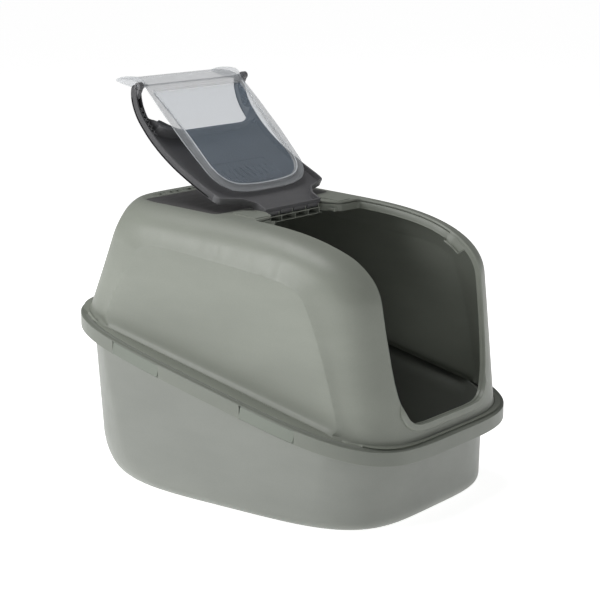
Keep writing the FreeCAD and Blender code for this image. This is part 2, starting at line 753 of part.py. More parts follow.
def build_flap():
    skin = dim("flap_skin")
    plate = flap_plate(0, -skin / 2, skin / 2)
    ridge = flap_plate(0, -skin / 2 - 1.2, skin / 2).cut(flap_plate(2.2, -9, 9))
    inner_ridge = flap_plate(BORDER - 2, -skin / 2 - 2.2, skin / 2).cut(flap_plate(BORDER, -9, 9))
    # Visor: a curved sheet that turns back from the pins' axis.
    reach = dim("visor_reach")
    half = VISOR_HALF_WIDTH
    arc_edge = smooth([Vector(-half, 0, 0), Vector(-half, reach * 0.3, 6), Vector(-half, reach * 0.7, 8),
                       Vector(-half, reach, 6)])
    visor = arc_edge.extrude(Vector(2 * half, 0, 0)).makeOffsetShape(-skin, 0.01, fill=True)
    ends = []
    for side in (-1, 1):
        leaf = [Vector(0, -4, -2), Vector(0, 6, -5), Vector(0, reach * 0.5, -2.5), Vector(0, reach + 2, 6),
                Vector(0, reach * 0.5, 14), Vector(0, 4, 12)]
        edge = smooth(leaf + leaf[:1])
        face = Part.Face(Part.Wire([edge]))
        plate_end = face.extrude(Vector(side * LEAF_THICKNESS, 0, 0))
        plate_end.translate(Vector(side * half, 0, 0))
        ends.append(plate_end)
    turned = visor.fuse(ends)
    turned.rotate(Vector(), Vector(1, 0, 0), VISOR_ANGLE)
    pins = []
    for side in (-1, 1):
        low, high = sorted((side * (half - 6), side * (dim("panel_half_width") - 2.5)))
        pins.append(rod_along_x(dim("flap_pin_radius"), low, high))
    root = rod_along_x(ROOT_RADIUS, -half - 2, half + 2)
    return plate.fuse([ridge, inner_ridge, turned, root] + pins)


ACROSS = Vector(1, 0, 0)
panel_place = Placement(Vector(0, dim("hinge_y"), dim("hinge_z")), Rotation(ACROSS, -dim("panel_open_angle")))
flap_place = Placement(panel_place.multVec(panel_pivot()), Rotation(ACROSS, 180 + dim("flap_lean")))


# ---------------------------------------------------------------------------------------------
# Clips
# ---------------------------------------------------------------------------------------------
def build_clip(side, centre):
    outer = rim_tier(0, -dim("clip_height") - CLIP_DROP, -CLIP_DROP - CLIP_GAP)
    band = outer.cut(rim_tier(dim("clip_thickness"), -60, 10))
    return band.common(clip_recess(side, centre, 0)).fuse(clip_pin(side, centre, CLIP_PIN_RADIUS, 4.0))


add_part("pan", build_pan())
add_part("hood", build_hood())
add_part("front_panel", build_panel(), panel_place)
add_part("flap", build_flap(), flap_place)
for end, centre in CLIP_CENTRES.items():
    for side, hand in ((-1, "left"), (1, "right")):
        add_part("clip_%s_%s" % (end, hand), build_clip(side, centre))


for side, hand in ((-1, "left"), (1, "right")):
    add_part("hinge_plate_" + hand, wing_block(side, 0, -WING_SINK + 0.3, 0.1))


# ---------------------------------------------------------------------------------------------
# Filter cover and carbon filter: sketched and padded
# ---------------------------------------------------------------------------------------------
def origin_plane(body, role):
    return next(f for f in body.Origin.OriginFeatures if f.Role == role)


def rectangle_sketch(body, name, width, length):
    """A rectangle centred on the body's origin, its sides bound to expressions."""
    sketch = body.newObject("Sketcher::SketchObject", name)
    sketch.AttachmentSupport = [(origin_plane(body, "XY_Plane"), "")]
    sketch.MapMode = "FlatFace"
    corners = [Vector(-10, -10), Vector(10, -10), Vector(10, 10), Vector(-10, 10)]
    for index in range(4):
        sketch.addGeometry(Part.LineSegment(corners[index], corners[(index + 1) % 4]))
    for index in range(4):
        sketch.addConstraint(Sketcher.Constraint("Coincident", index, 2, (index + 1) % 4, 1))
    for index, kind in enumerate(("Horizontal", "Vertical", "Horizontal", "Vertical")):
        sketch.addConstraint(Sketcher.Constraint(kind, index))
    sketch.addConstraint(Sketcher.Constraint("Symmetric", 0, 1, 1, 2, -1, 1))
    wide = sketch.addConstraint(Sketcher.Constraint("DistanceX", 0, 1, 0, 2, 20))
    long = sketch.addConstraint(Sketcher.Constraint("DistanceY", 1, 1, 1, 2, 20))
    sketch.setExpression("Constraints[%d]" % wide, width)
    sketch.setExpression("Constraints[%d]" % long, length)
    return sketch


def padded_plate(label, width, length, thickness, radius):
    body = doc.addObject("PartDesign::Body", label)
    body.Label = label
    pad = body.newObject("PartDesign::Pad", label + "_pad")
    pad.Profile = rectangle_sketch(body, label + "_sketch", width, length)
    pad.setExpression("Length", thickness)
    doc.recompute()
    upright = ["Edge%d" % (i + 1) for i, e in enumerate(pad.Shape.Edges)
               if abs(e.Vertexes[0].Z - e.Vertexes[-1].Z) > 1]
    fillet = body.newObject("PartDesign::Fillet", label + "_corners")
    fillet.Base = (pad, upright)
    fillet.Radius = radius
    doc.recompute()
    return body


tilt = Rotation(Vector(1, 0, 0), math.degrees(math.atan(dim("top_slope"))))
carbon = padded_plate("carbon_filter", cell("filter_width"), cell("filter_length"),
                      cell("filter_thickness"), 6)
carbon.Placement = Placement(Vector(0, FILTER_MIDDLE, top_plane(FILTER_MIDDLE) - TRAY_DEPTH + 0.6), tilt)

cover_middle = (dim("cover_back") + dim("cover_front")) / 2
cover = padded_plate("filter_cover", "2 * " + cell("cover_half_width"),
                     cell("cover_back") + " - " + cell("cover_front"), cell("cover_thickness"), 12)
cover_rod = cover.newObject("PartDesign::AdditiveCylinder", "filter_cover_rod")
cover_rod.Radius = COVER_PIN_RADIUS
cover_rod.Height = 2 * COVER_PIN_END
rod_middle = Vector(-COVER_PIN_END, COVER_PIN_EDGE - (dim("cover_back") - dim("cover_front")) / 2,
                    dim("cover_thickness") / 2)
cover_rod.Placement = Placement(rod_middle, Rotation(Vector(0, 1, 0), 90))
doc.recompute()
cover.Placement = Placement(Vector(0, cover_middle, top_plane(cover_middle) - COVER_SINK + 0.3), tilt)

# ---------------------------------------------------------------------------------------------
# Check and export
# ---------------------------------------------------------------------------------------------
NODES = ["pan", "hood", "front_panel", "flap", "filter_cover", "carbon_filter"]
NODES += ["hinge_plate_left", "hinge_plate_right"]
NODES += ["clip_%s_%s" % (end, hand) for end in CLIP_CENTRES for hand in ("left", "right")]

doc.recompute()
for item in doc.Objects:
    if "Invalid" in item.State or "Error" in item.State:
        raise RuntimeError("%s did not compute: %s" % (item.Label, item.State))
os.makedirs("parts", exist_ok=True)
for label in NODES:
    shape = doc.getObjectsByLabel(label)[0].Shape
    if shape.isNull() or not shape.isValid() or shape.Volume <= 0:
        raise RuntimeError("%s has no valid shape" % label)
    shape.exportStep(os.path.join("parts", label + ".step"))
    bounds = shape.optimalBoundingBox(False, False)
    print("%-18s solids %d  volume %9.1f  x %7.1f %7.1f  y %7.1f %7.1f  z %7.1f %7.1f" % (
        label, len(shape.Solids), shape.Volume / 1000, bounds.XMin, bounds.XMax, bounds.YMin, bounds.YMax,
        bounds.ZMin, bounds.ZMax))
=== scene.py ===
import math

import bpy
import numpy as np
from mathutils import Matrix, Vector
from mathutils.bvhtree import BVHTree


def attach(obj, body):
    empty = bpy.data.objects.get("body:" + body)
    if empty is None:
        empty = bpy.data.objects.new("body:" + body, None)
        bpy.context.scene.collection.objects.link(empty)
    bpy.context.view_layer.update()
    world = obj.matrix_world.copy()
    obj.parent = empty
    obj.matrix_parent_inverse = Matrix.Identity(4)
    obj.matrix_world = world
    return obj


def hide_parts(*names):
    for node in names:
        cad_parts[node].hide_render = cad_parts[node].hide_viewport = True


# Cat litter box with hood.  Shapes below are in millimetres in the CAD frame and are scaled to
# metres when a mesh is made.  The frame is loaded first; every piece rides on one of its bodies.
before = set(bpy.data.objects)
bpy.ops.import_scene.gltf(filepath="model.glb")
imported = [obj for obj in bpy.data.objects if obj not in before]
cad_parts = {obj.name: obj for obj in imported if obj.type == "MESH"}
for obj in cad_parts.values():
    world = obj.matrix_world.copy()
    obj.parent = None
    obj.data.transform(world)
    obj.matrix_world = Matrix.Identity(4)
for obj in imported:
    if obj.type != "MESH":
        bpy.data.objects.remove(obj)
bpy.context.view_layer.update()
MM = 0.001


def add_object(name, data):
    obj = bpy.data.objects.new(name, data)
    bpy.context.scene.collection.objects.link(obj)
    return obj


def make_object(name, points, faces, material, body, sharp=40.0, crease=()):
    """A piece that rides on a body, smooth except along edges sharper than an angle or on the crease."""
    mesh = bpy.data.meshes.new(name)
    mesh.from_pydata((np.asarray(points) * MM).tolist(), [], [list(f) for f in faces])
    mesh.validate()
    mesh.polygons.foreach_set("use_smooth", [True] * len(mesh.polygons))
    mesh.set_sharp_from_angle(angle=math.radians(sharp))
    on_crease = set(crease)
    for edge in mesh.edges:
        if on_crease.issuperset(edge.vertices):
            edge.use_edge_sharp = True
    mesh.update()
    mesh.materials.append(material)
    obj = add_object(name, mesh)
    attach(obj, body)
    return obj


def repaint(obj, material, chosen):
    """A second material on the chosen faces of a piece."""
    obj.data.materials.append(material)
    for polygon, hit in zip(obj.data.polygons, chosen):
        polygon.material_index = int(hit)


def grid_faces(rows, cols, closed):
    """The quads between rows of points; closed joins each row's last point to its first."""
    i, j = np.meshgrid(np.arange(rows - 1), np.arange(cols if closed else cols - 1), indexing="ij")
    k = (j + 1) % cols
    quads = np.stack([i * cols + j, i * cols + k, (i + 1) * cols + k, (i + 1) * cols + j], axis=-1)
    return quads.reshape(-1, 4).tolist()


def join_rows(rows, cols):
    """The quads that join the last of several closed rows of points to the first."""
    last = (rows - 1) * cols
    return [[last + j, last + (j + 1) % cols, (j + 1) % cols, j] for j in range(cols)]


def merge(*parts):
    """Several (points, faces) pairs as one."""
    points, faces, start = [], [], 0
    for p, f in parts:
        points.append(np.asarray(p, float).reshape(-1, 3))
        faces += [[start + v for v in face] for face in f]
        start += len(points[-1])
    return np.vstack(points), faces


def keep_used(points, faces):
    """The points that faces use, the faces renumbered to match, and each kept point's new number."""
    used = sorted(set(v for face in faces for v in face))
    renumber = {v: k for k, v in enumerate(used)}
    return points[used], [[renumber[v] for v in face] for face in faces], renumber


def weld(first, second):
    """Two sheets that share part of their edges as one, and the numbers of the points they share."""
    points, faces = merge(first, second)
    keys, place, shared = {}, [], set()
    for number, point in enumerate(np.round(points, 4)):
        key = tuple(point)
        if key in keys and number >= len(first[0]):
            shared.add(keys[key])
        place.append(keys.setdefault(key, number))
    points, faces, renumber = keep_used(points, [[place[v] for v in face] for face in faces])
    return points, faces, [renumber[v] for v in shared]


def vertex_normals(points, faces):
    normals = np.zeros_like(points)
    for size in sorted(set(len(f) for f in faces)):
        idx = np.array([f for f in faces if len(f) == size])
        spokes = points[idx] - points[idx].mean(axis=1, keepdims=True)
        area = np.cross(spokes, np.roll(spokes, -1, axis=1)).sum(axis=1)
        for column in range(size):
            np.add.at(normals, idx[:, column], area)
    length = np.linalg.norm(normals, axis=1, keepdims=True)
    return normals / np.maximum(length, 1e-9)


def flip(faces):
    return [f[::-1] for f in faces]


def outwards(points, faces, centre=(0, 0, 0)):
    """A closed solid whose faces all point out of it; centre is a place inside, or the origin."""
    corners = [points[face[:3]] - centre for face in faces]
    volume = sum(np.dot(a, np.cross(b, c)) for a, b, c in corners)
    return points, faces if volume > 0 else flip(faces)


def facing(points, faces, up=True):
    """A sheet whose normals point up on the whole, or down."""
    points_up = vertex_normals(points, faces)[:, 2].mean() > 0
    return points, faces if points_up == up else flip(faces)


def thicken(points, faces, depth):
    """A sheet given a thickness on the side away from its normals, with its open edges closed."""
    points = np.asarray(points, float)
    normals = vertex_normals(points, faces)
    count = len(points)
    seen = {}
    for face in faces:
        for a, b in zip(face, face[1:] + face[:1]):
            seen[(a, b)] = seen.get((a, b), 0) + 1
    rims = [[b, a, a + count, b + count] for a, b in seen if (b, a) not in seen]
    back = [[v + count for v in f[::-1]] for f in faces]
    return np.vstack([points, points - normals * depth]), faces + back + rims


def cut_grid(points, field, closed=False):
    """The part of a grid of points where field is positive, ending cleanly where it is zero."""
    rows, cols = field.shape
    pos = points.reshape(-1, 3).copy()
    val = field.reshape(-1).copy()
    index = np.arange(rows * cols).reshape(rows, cols)
    pairs = [(index[:-1].ravel(), index[1:].ravel())]
    if closed:
        pairs.append((index.ravel(), np.roll(index, -1, axis=1).ravel()))
    else:
        pairs.append((index[:, :-1].ravel(), index[:, 1:].ravel()))
    start, end = (np.concatenate([p[k] for p in pairs]) for k in (0, 1))
    crossing = val[start] * val[end] < 0
    a, b = start[crossing], end[crossing]
    t = (val[a] / (val[a] - val[b]))[:, None]
    meet = pos[a] + (pos[b] - pos[a]) * t
    near_a, near_b = (t < 0.3).ravel(), (t > 0.7).ravel()
    pos[a[near_a]] = meet[near_a]
    pos[b[near_b]] = meet[near_b]
    val[a[near_a]] = 0
    val[b[near_b]] = 0
    extra, cuts = [], {}

    def crossing_point(p, q):
        key = (min(p, q), max(p, q))
        if key not in cuts:
            share = val[p] / (val[p] - val[q])
            cuts[key] = len(pos) + len(extra)
            extra.append(pos[p] + (pos[q] - pos[p]) * share)
        return cuts[key]

    faces = []
    for quad in grid_faces(rows, cols, closed):
        values = [val[v] for v in quad]
        if min(values) >= 0:
            if max(values) > 0:
                faces.append(quad)
            continue
        if max(values) <= 0:
            continue
        face = []
        for p, q in zip(quad, quad[1:] + quad[:1]):
            if val[p] >= 0:
                face.append(p)
            if val[p] * val[q] < 0:
                face.append(crossing_point(p, q))
        if len(face) > 2:
            faces.append(face)
    return keep_used(np.vstack([pos, extra]) if extra else pos, faces)[:2]


def outside(x, y, polygon):
    """Signed distance of points from a closed outline, positive outside it."""
    x, y = np.asarray(x, float), np.asarray(y, float)
    best = np.full(x.shape, 1e9)
    within = np.zeros(x.shape, bool)
    for (ax, ay), (bx, by) in zip(polygon, np.roll(polygon, -1, axis=0)):
        ex, ey = bx - ax, by - ay
        share = np.clip(((x - ax) * ex + (y - ay) * ey) / max(ex * ex + ey * ey, 1e-12), 0, 1)
        best = np.minimum(best, np.hypot(x - ax - share * ex, y - ay - share * ey))
        if ay != by:
            within ^= ((ay > y) != (by > y)) & (x < ax + (y - ay) * ex / ey)
    return np.where(within, -best, best)


def rounded(points, radius, steps=7):
    """A closed outline whose corners are rounded; radius is one number or one for each corner."""
    points = np.asarray(points, float)
    radii = np.broadcast_to(radius, len(points))
    out = []
    for k, corner in enumerate(points):
        to_last = points[k - 1] - corner
        to_next = points[(k + 1) % len(points)] - corner
        for_last, for_next = np.linalg.norm(to_last), np.linalg.norm(to_next)
        reach = min(radii[k], 0.49 * for_last, 0.49 * for_next)
        first = corner + to_last / for_last * reach
        last = corner + to_next / for_next * reach
        for t in np.linspace(0, 1, steps if reach > 0 else 1):
            out.append((1 - t) ** 2 * first + 2 * t * (1 - t) * corner + t ** 2 * last)
    return np.array(out)


def rectangle(half_x, middle_y, half_y, radius):
    """A rounded rectangle centred on x = 0."""
    corners = [(sx * half_x, middle_y + sy * half_y) for sx, sy in ((1, -1), (1, 1), (-1, 1), (-1, -1))]
    return rounded(corners, radius)


def mirrored(half):
    """A symmetric outline from the points of its right half."""
    half = np.asarray(half, float)
    return np.vstack([half, half[::-1] * [-1, 1]])


def resample(path, step, closed=False):
    """Points spaced about a step apart along a path."""
    path = np.asarray(path, float)
    if closed:
        path = np.vstack([path, path[:1]])
    run = np.concatenate([[0], np.cumsum(np.linalg.norm(np.diff(path, axis=0), axis=1))])
    count = max(int(round(run[-1] / step)), 3)
    at = np.linspace(0, run[-1], count + 1)
    if closed:
        at = at[:-1]
    return np.stack([np.interp(at, run, path[:, k]) for k in range(path.shape[1])], axis=1)


def soften(values, passes, closed):
    """Values along a path, each mixed with its neighbours' a few times."""
    values = np.asarray(values, float)
    for _ in range(passes):
        before, after = np.roll(values, 1, axis=0), np.roll(values, -1, axis=0)
        if not closed:
            before[0], after[-1] = values[0], values[-1]
        values = (before + 2 * values + after) / 4
    return values


def spline(xs, ys):
    """A smooth function through points that doesn't overshoot them."""
    xs, ys = np.asarray(xs, float), np.asarray(ys, float)
    slope = np.diff(ys) / np.diff(xs)
    tangent = np.concatenate([[slope[0]], (slope[:-1] + slope[1:]) / 2, [slope[-1]]])
    tangent[1:-1][slope[:-1] * slope[1:] <= 0] = 0

    def value(x):
        k = np.clip(np.searchsorted(xs, x) - 1, 0, len(xs) - 2)
        h = xs[k + 1] - xs[k]
        t = (x - xs[k]) / h
        return (ys[k] * (1 + 2 * t) * (1 - t) ** 2 + ys[k + 1] * t * t * (3 - 2 * t)
                + h * tangent[k] * t * (1 - t) ** 2 + h * tangent[k + 1] * t * t * (t - 1))
    return value


def sweep(path, normals, sections, closed):
    """A tube along a path.  A section's points are (across, up): up is along the normal."""
    path = np.asarray(path, float)
    along = np.roll(path, -1, axis=0) - np.roll(path, 1, axis=0)
    if not closed:
        along[0], along[-1] = path[1] - path[0], path[-1] - path[-2]
    along /= np.linalg.norm(along, axis=1, keepdims=True)
    up = normals - (normals * along).sum(axis=1, keepdims=True) * along
    up /= np.linalg.norm(up, axis=1, keepdims=True)
    across = np.cross(along, up)
    sections = np.asarray(sections, float)
    if sections.ndim == 2:
        sections = np.broadcast_to(sections, (len(path),) + sections.shape)
    points = path[:, None] + across[:, None] * sections[:, :, :1] + up[:, None] * sections[:, :, 1:]
    rows, cols = points.shape[:2]
    flat = points.reshape(-1, 3)
    faces = grid_faces(rows, cols, True)
    if closed:
        faces += join_rows(rows, cols)
    else:
        faces += [list(range(cols))[::-1], list(range((rows - 1) * cols, rows * cols))]
    return outwards(flat, faces)


def ring_solid(rings):
    """A closed solid whose sections are rings of points, with a cap at each end."""
    rows, cols = len(rings), len(rings[0])
    points = np.vstack([*rings, rings[0].mean(axis=0), rings[-1].mean(axis=0)])
    faces = grid_faces(rows, cols, True)
    first, last, top = rows * cols, rows * cols + 1, (rows - 1) * cols
    faces += [[first, (j + 1) % cols, j] for j in range(cols)]
    faces += [[last, top + j, top + (j + 1) % cols] for j in range(cols)]
    return points, faces


def block(low, high, round_by=0.6):
    """A box with rounded upright corners and eased top and bottom edges."""
    (x0, y0, z0), (x1, y1, z1) = low, high
    ease = min(round_by, 0.3 * (x1 - x0), 0.3 * (y1 - y0), 0.3 * (z1 - z0))
    rings = []
    for inset, z in ((ease, z0), (0, z0 + ease), (0, z1 - ease), (ease, z1)):
        plan = rounded([(x0 + inset, y0 + inset), (x1 - inset, y0 + inset), (x1 - inset, y1 - inset),
                        (x0 + inset, y1 - inset)], 2.2 * ease, 4)
        rings.append(np.column_stack([plan, np.full(len(plan), z)]))
    return ring_solid(rings)


def circle(sides):
    """Directions spaced evenly round a circle."""
    return np.linspace(0, 2 * math.pi, sides, endpoint=False)


def rod(start, end, radius, sides=28):
    """A round rod with chamfered ends."""
    ease = 0.5
    start, end = np.array(start, float), np.array(end, float)
    along = (end - start) / np.linalg.norm(end - start)
    side = np.cross(along, [0, 0, 1.0] if abs(along[2]) < 0.9 else [1.0, 0, 0])
    side /= np.linalg.norm(side)
    other = np.cross(along, side)
    turn = circle(sides)[:, None]
    spokes = np.cos(turn) * side + np.sin(turn) * other
    rings = [start + spokes * (radius - ease), start + along * ease + spokes * radius,
             end - along * ease + spokes * radius, end + spokes * (radius - ease)]
    return ring_solid(rings)


def softmin(a, b, width):
    """The smaller of two values, with the change from one to the other rounded off."""
    share = np.clip(0.5 + 0.5 * (b - a) / width, 0, 1)
    return b * (1 - share) + a * share - width * share * (1 - share)


def smoothstep(low, high, x):
    t = np.clip((np.asarray(x, float) - low) / (high - low), 0, 1)
    return t * t * (3 - 2 * t)


# --- Materials
class Surface:
    """A new material: its Principled shader, and procedural nodes to feed it."""

    def __init__(self, name):
        self.material = bpy.data.materials.new(name)
        self.material.use_nodes = True
        self.nodes, self.links = self.material.node_tree.nodes, self.material.node_tree.links
        self.coords = self.nodes.new("ShaderNodeTexCoord").outputs["Object"]

    def fill(self, node, **values):
        """Link or set a node's inputs, an underscore standing for a space, or set its properties."""
        for key, value in values.items():
            name = key.replace("_", " ")
            if name not in node.inputs:
                setattr(node, key, value)
            elif isinstance(value, bpy.types.NodeSocket):
                self.links.new(value, node.inputs[name])
            else:
                node.inputs[name].default_value = value
        return node

    def add(self, kind, result, **values):
        return self.fill(self.nodes.new("ShaderNode" + kind), **values).outputs[result]

    def noise(self, scale, detail, roughness=0.55, stretch=None):
        source = self.coords
        if stretch:
            source = self.add("Mapping", "Vector", Vector=source, Scale=stretch)
        return self.add("TexNoise", "Fac", Vector=source, Scale=scale, Detail=detail, Roughness=roughness)

    def remap(self, source, low, high, to_low, to_high):
        return self.add("MapRange", "Result", Value=source, From_Min=low, From_Max=high, To_Min=to_low,
                        To_Max=to_high)

    def blend(self, source, low, high, places=(0.0, 1.0)):
        """A colour that runs from low to high while source does so between two places."""
        ramp = self.nodes.new("ShaderNodeValToRGB")
        for element, place, colour in zip(ramp.color_ramp.elements, places, (low, high)):
            element.position = place
            element.color = [*colour, 1]
        return self.fill(ramp, Fac=source).outputs["Color"]

    def mix(self, kind, factor, first, second):
        return self.add("Mix", "Result", data_type="RGBA", blend_type=kind, Factor=factor, A=first,
                        B=[*second, 1])

    def bump(self, height, strength, distance, **under):
        return self.add("Bump", "Normal", Height=height, Strength=strength, Distance=distance, **under)

    def finish(self, **values):
        """The material, its shader's own inputs linked or set."""
        self.fill(self.nodes["Principled BSDF"], **values)
        return self.material


def linear(colour):
    return np.array([((c / 255 + 0.055) / 1.055) ** 2.4 if c > 10 else c / 255 / 12.92 for c in colour])


def moulded(name, colour, rough):
    """Moulded plastic: fine grain, faint flow marks in its colour, and scuffs that dull the gloss."""
    surface = Surface(name)
    base = linear(colour)
    flow = surface.noise(5.5, 3.0, 0.6, (1.0, 0.55, 1.7))
    streaks = surface.blend(flow, base * 0.93, np.minimum(base * 1.07, 1), (0.32, 0.68))
    speckle = surface.remap(surface.noise(420.0, 2.0), 0.3, 0.7, 0.0, 0.10)
    grainy = surface.mix("MULTIPLY", speckle, streaks, (0.62, 0.62, 0.62))
    edge = surface.add("NewGeometry", "Pointiness")
    rub = surface.remap(edge, 0.52, 0.58, 0.0, 0.22)
    worn = surface.mix("MIX", rub, grainy, np.minimum(base * 1.55 + 0.015, 1))
    marks = surface.noise(38.0, 6.0, 0.7, (1.0, 2.6, 0.8))
    dull = surface.remap(marks, 0.35, 0.75, rough - 0.05, rough + 0.08)
    fine = surface.bump(surface.noise(1100.0, 2.0), 0.10, 0.0004)
    wavy = surface.bump(surface.noise(9.0, 1.0), 0.05, 0.003, Normal=fine)
    return surface.finish(Base_Color=worn, Roughness=dull, Specular_IOR_Level=0.4, Normal=wavy)


def clear_plastic(name, colour, alpha, rough):
    """Lightly smoked clear plastic of the flap, with hazy scuffs."""
    surface = Surface(name)
    base = np.array(colour)
    haze = surface.noise(26.0, 5.0, 0.65, (0.7, 2.0, 1.0))
    return surface.finish(Base_Color=surface.blend(haze, base * 0.9, base * 1.1, (0.3, 0.75)),
                          Roughness=surface.remap(haze, 0.3, 0.8, rough, rough + 0.14), Alpha=alpha,
                          Specular_IOR_Level=0.6, Normal=surface.bump(surface.noise(60.0, 2.0), 0.02, 0.001))


def carbon_foam(name):
    surface = Surface(name)
    pores = surface.noise(520.0, 3.0, 0.7)
    return surface.finish(Base_Color=surface.blend(pores, (0.006, 0.006, 0.007), (0.05, 0.05, 0.052)),
                          Roughness=surface.remap(pores, 0.3, 0.7, 0.8, 0.98),
                          Normal=surface.bump(pores, 0.8, 0.001))


SAGE = moulded("sage_plastic", (130, 134, 125), 0.40)
SAGE_PAN = moulded("sage_plastic_pan", (128, 131, 125), 0.42)
# The rim band is the pan's own sage plastic, made darker here as painted shade.
RIM_PAINTED_SHADE = moulded("sage_plastic_rim_painted_shade", (116, 120, 112), 0.42)
# The clips' greener sage is their own; its darkening is painted shade, as on the rim band.
CLIP_PAINTED_SHADE = moulded("sage_plastic_clip", (115, 121, 112), 0.42)
# The hinge plates' own grey-green, darkened further with painted shade.
WING_PAINTED_SHADE = moulded("hinge_plate_plastic_painted_shade", (72, 76, 72), 0.44)
GREY = moulded("grey_plastic", (96, 96, 98), 0.44)
# A darker copy of the panel's grey: painted shade on its slots, outer sides, legs and cut-out.
GREY_PAINTED_SHADE = moulded("grey_plastic_painted_shade", (62, 62, 64), 0.44)
PLATE = moulded("dark_grey_plastic", (68, 67, 67), 0.5)
CLEAR = clear_plastic("clear_plastic", (0.28, 0.34, 0.41), 0.31, 0.10)
FROSTED = clear_plastic("frosted_plastic", (0.44, 0.46, 0.48), 0.42, 0.30)
# The ridge bead is light and nearly opaque: a painted highlight along the flap's ridge.
RIDGE_PAINTED_HIGHLIGHT = clear_plastic("ridge_plastic_painted_highlight", (0.74, 0.77, 0.80), 0.75, 0.14)
CARBON = carbon_foam("carbon_foam")

# --- Outlines shared by the pan and the hood
RIM_LEVEL, RIM_SLOPE = 211.5, 0.2365
RIM_HALF_WIDTH, RIM_HALF_LENGTH, RIM_POWER = 246.5, 328.5, 4.13
TOP_LEVEL, TOP_SLOPE = 459.5, 0.0636
WALL = 2.6


def even_angles(count, half_width, half_length, power):
    """Directions that space points evenly round an outline, the same in each quarter."""
    t = np.linspace(0, math.pi / 2, 4001)
    radius = ((np.cos(t) / half_width) ** power + (np.sin(t) / half_length) ** power) ** (-1 / power)
    x, y = radius * np.cos(t), radius * np.sin(t)
    turn = np.concatenate([[0], np.cumsum(np.hypot(np.diff(x), np.diff(y)))])
    angle = np.arctan2(np.diff(y), np.diff(x))
    bend = np.concatenate([[0, 0], np.cumsum(np.abs(np.diff(angle)))])
    run = turn + 120 * bend
    return np.interp(np.linspace(0, run[-1], count // 4 + 1), run, t)[:-1]


def all_round(quarter):
    """A quarter's directions carried round the whole outline."""
    right = np.concatenate([quarter, [math.pi / 2], math.pi - quarter[:0:-1]])
    return np.concatenate([right, right + math.pi])


def ring(angles, front, back, half_width, power, level, slope):
    """A rounded outline on a plane that rises backwards: y runs from -front to back."""
    c, s = np.cos(angles), np.sin(angles)
    half = (front + back) / 2
    radius = (np.abs(c / half_width) ** power + np.abs(s / half) ** power) ** (-1 / power)
    y = (back - front) / 2 + radius * s
    return np.stack([radius * c, y, level + slope * y], axis=-1)


def shoulder(station, start, power):
    """How far a profile has turned in: 0 up to the start, then quickly to 1 at station 1."""
    turn = max(0.0, (station - start) / (1 - start))
    return 1 - (1 - turn ** power) ** (1 / power)


ANGLES = all_round(even_angles(count=280, half_width=225, half_length=315, power=4.4))


def rim_height(y):
    return RIM_LEVEL + RIM_SLOPE * y


def top_height(y):
    return TOP_LEVEL + TOP_SLOPE * y


def rim_half(y):
    """Half the rim's width at y."""
    return RIM_HALF_WIDTH * (1 - np.abs(y / RIM_HALF_LENGTH) ** RIM_POWER) ** (1 / RIM_POWER)


# --- Pan: outside wall, rim with the hood's ledge and the clips' recesses, inside wall
CLIP_CENTRES = {"back": 129.0, "front": -136.0}
CLIP_HALF = 50.0
RECESS_HALF = CLIP_HALF + 0.6


def angle_at(y):
    """The direction in which the rim's side passes y."""
    t = np.linspace(-1.4, 1.4, 8001)
    side = ring(t, RIM_HALF_LENGTH, RIM_HALF_LENGTH, RIM_HALF_WIDTH, RIM_POWER, 0, 0)
    return float(np.interp(y, side[:, 1], t))


def rim_angles():
    """The outline's directions with sharp steps added where the clips' recesses end."""
    extra = []
    for centre in CLIP_CENTRES.values():
        for end in (centre - RECESS_HALF, centre + RECESS_HALF):
            for nudge in (-0.06, 0.06):
                a = angle_at(end + nudge)
                extra += [a % (2 * math.pi), (math.pi - a) % (2 * math.pi)]
    return np.array(sorted(list(ANGLES) + extra))


PAN_ANGLES = rim_angles()
PAN_ROUND_FRONT, PAN_ROUND_BACK = 18.0, 70.0


def quarter_round(height, radius):
    """How far a wall stands in at a height above the floor, where it meets the floor in a rounding."""
    below = max(0.0, 1 - height / radius)
    return radius * (1 - math.sqrt(1 - below ** 2))


def pan_ring(station, inset, lift_low, lift_high):
    """The pan's wall from the floor, station 0, to the rim, station 1, with its flat sides."""
    height = station * 190
    front = 294.6 + 2.4 * station - quarter_round(height * 0.6, PAN_ROUND_FRONT) - inset
    back = 311.3 + 3.7 * station - quarter_round(height * 1.4, PAN_ROUND_BACK) - inset
    width = 213.4 + 16.6 * station - quarter_round(height, PAN_ROUND_FRONT) - inset
    behind = smoothstep(-0.6, 0.6, np.sin(PAN_ANGLES))
    power = (4.2 - 0.7 * behind) * (1 - station) + 3.8 * station
    level = lift_low + (RIM_LEVEL + lift_high - lift_low) * station
    points = ring(PAN_ANGLES, front, back, width, power, level, RIM_SLOPE * station)
    x, y, z = points.T
    flare = 14 * np.exp(-(np.clip(rim_height(y) - 6 - z, 0, None) / 9) ** 2)
    flat = 214.6 - 1.9e-4 * y ** 2 + 0.02 * (z - 100) + flare - inset
    points[:, 0] = np.sign(x) * softmin(np.abs(x), flat, 1.2)
    return points


def rim_ring(share, inset, offset):
    """A ring on the rim: share runs from the rim's outer edge, 0, to the hood's flange, 1."""
    return ring(PAN_ANGLES, RIM_HALF_LENGTH - 11 * share - inset, RIM_HALF_LENGTH - 7.5 * share - inset,
                RIM_HALF_WIDTH - 15 * share - inset, RIM_POWER, RIM_LEVEL + offset, RIM_SLOPE)


def in_recess(points):
    """Which points of a rim ring are beside a clip."""
    from_centre = [np.abs(points[:, 1] - centre) for centre in CLIP_CENTRES.values()]
    return (np.min(from_centre, axis=0) < RECESS_HALF) & (np.abs(points[:, 0]) > 200)


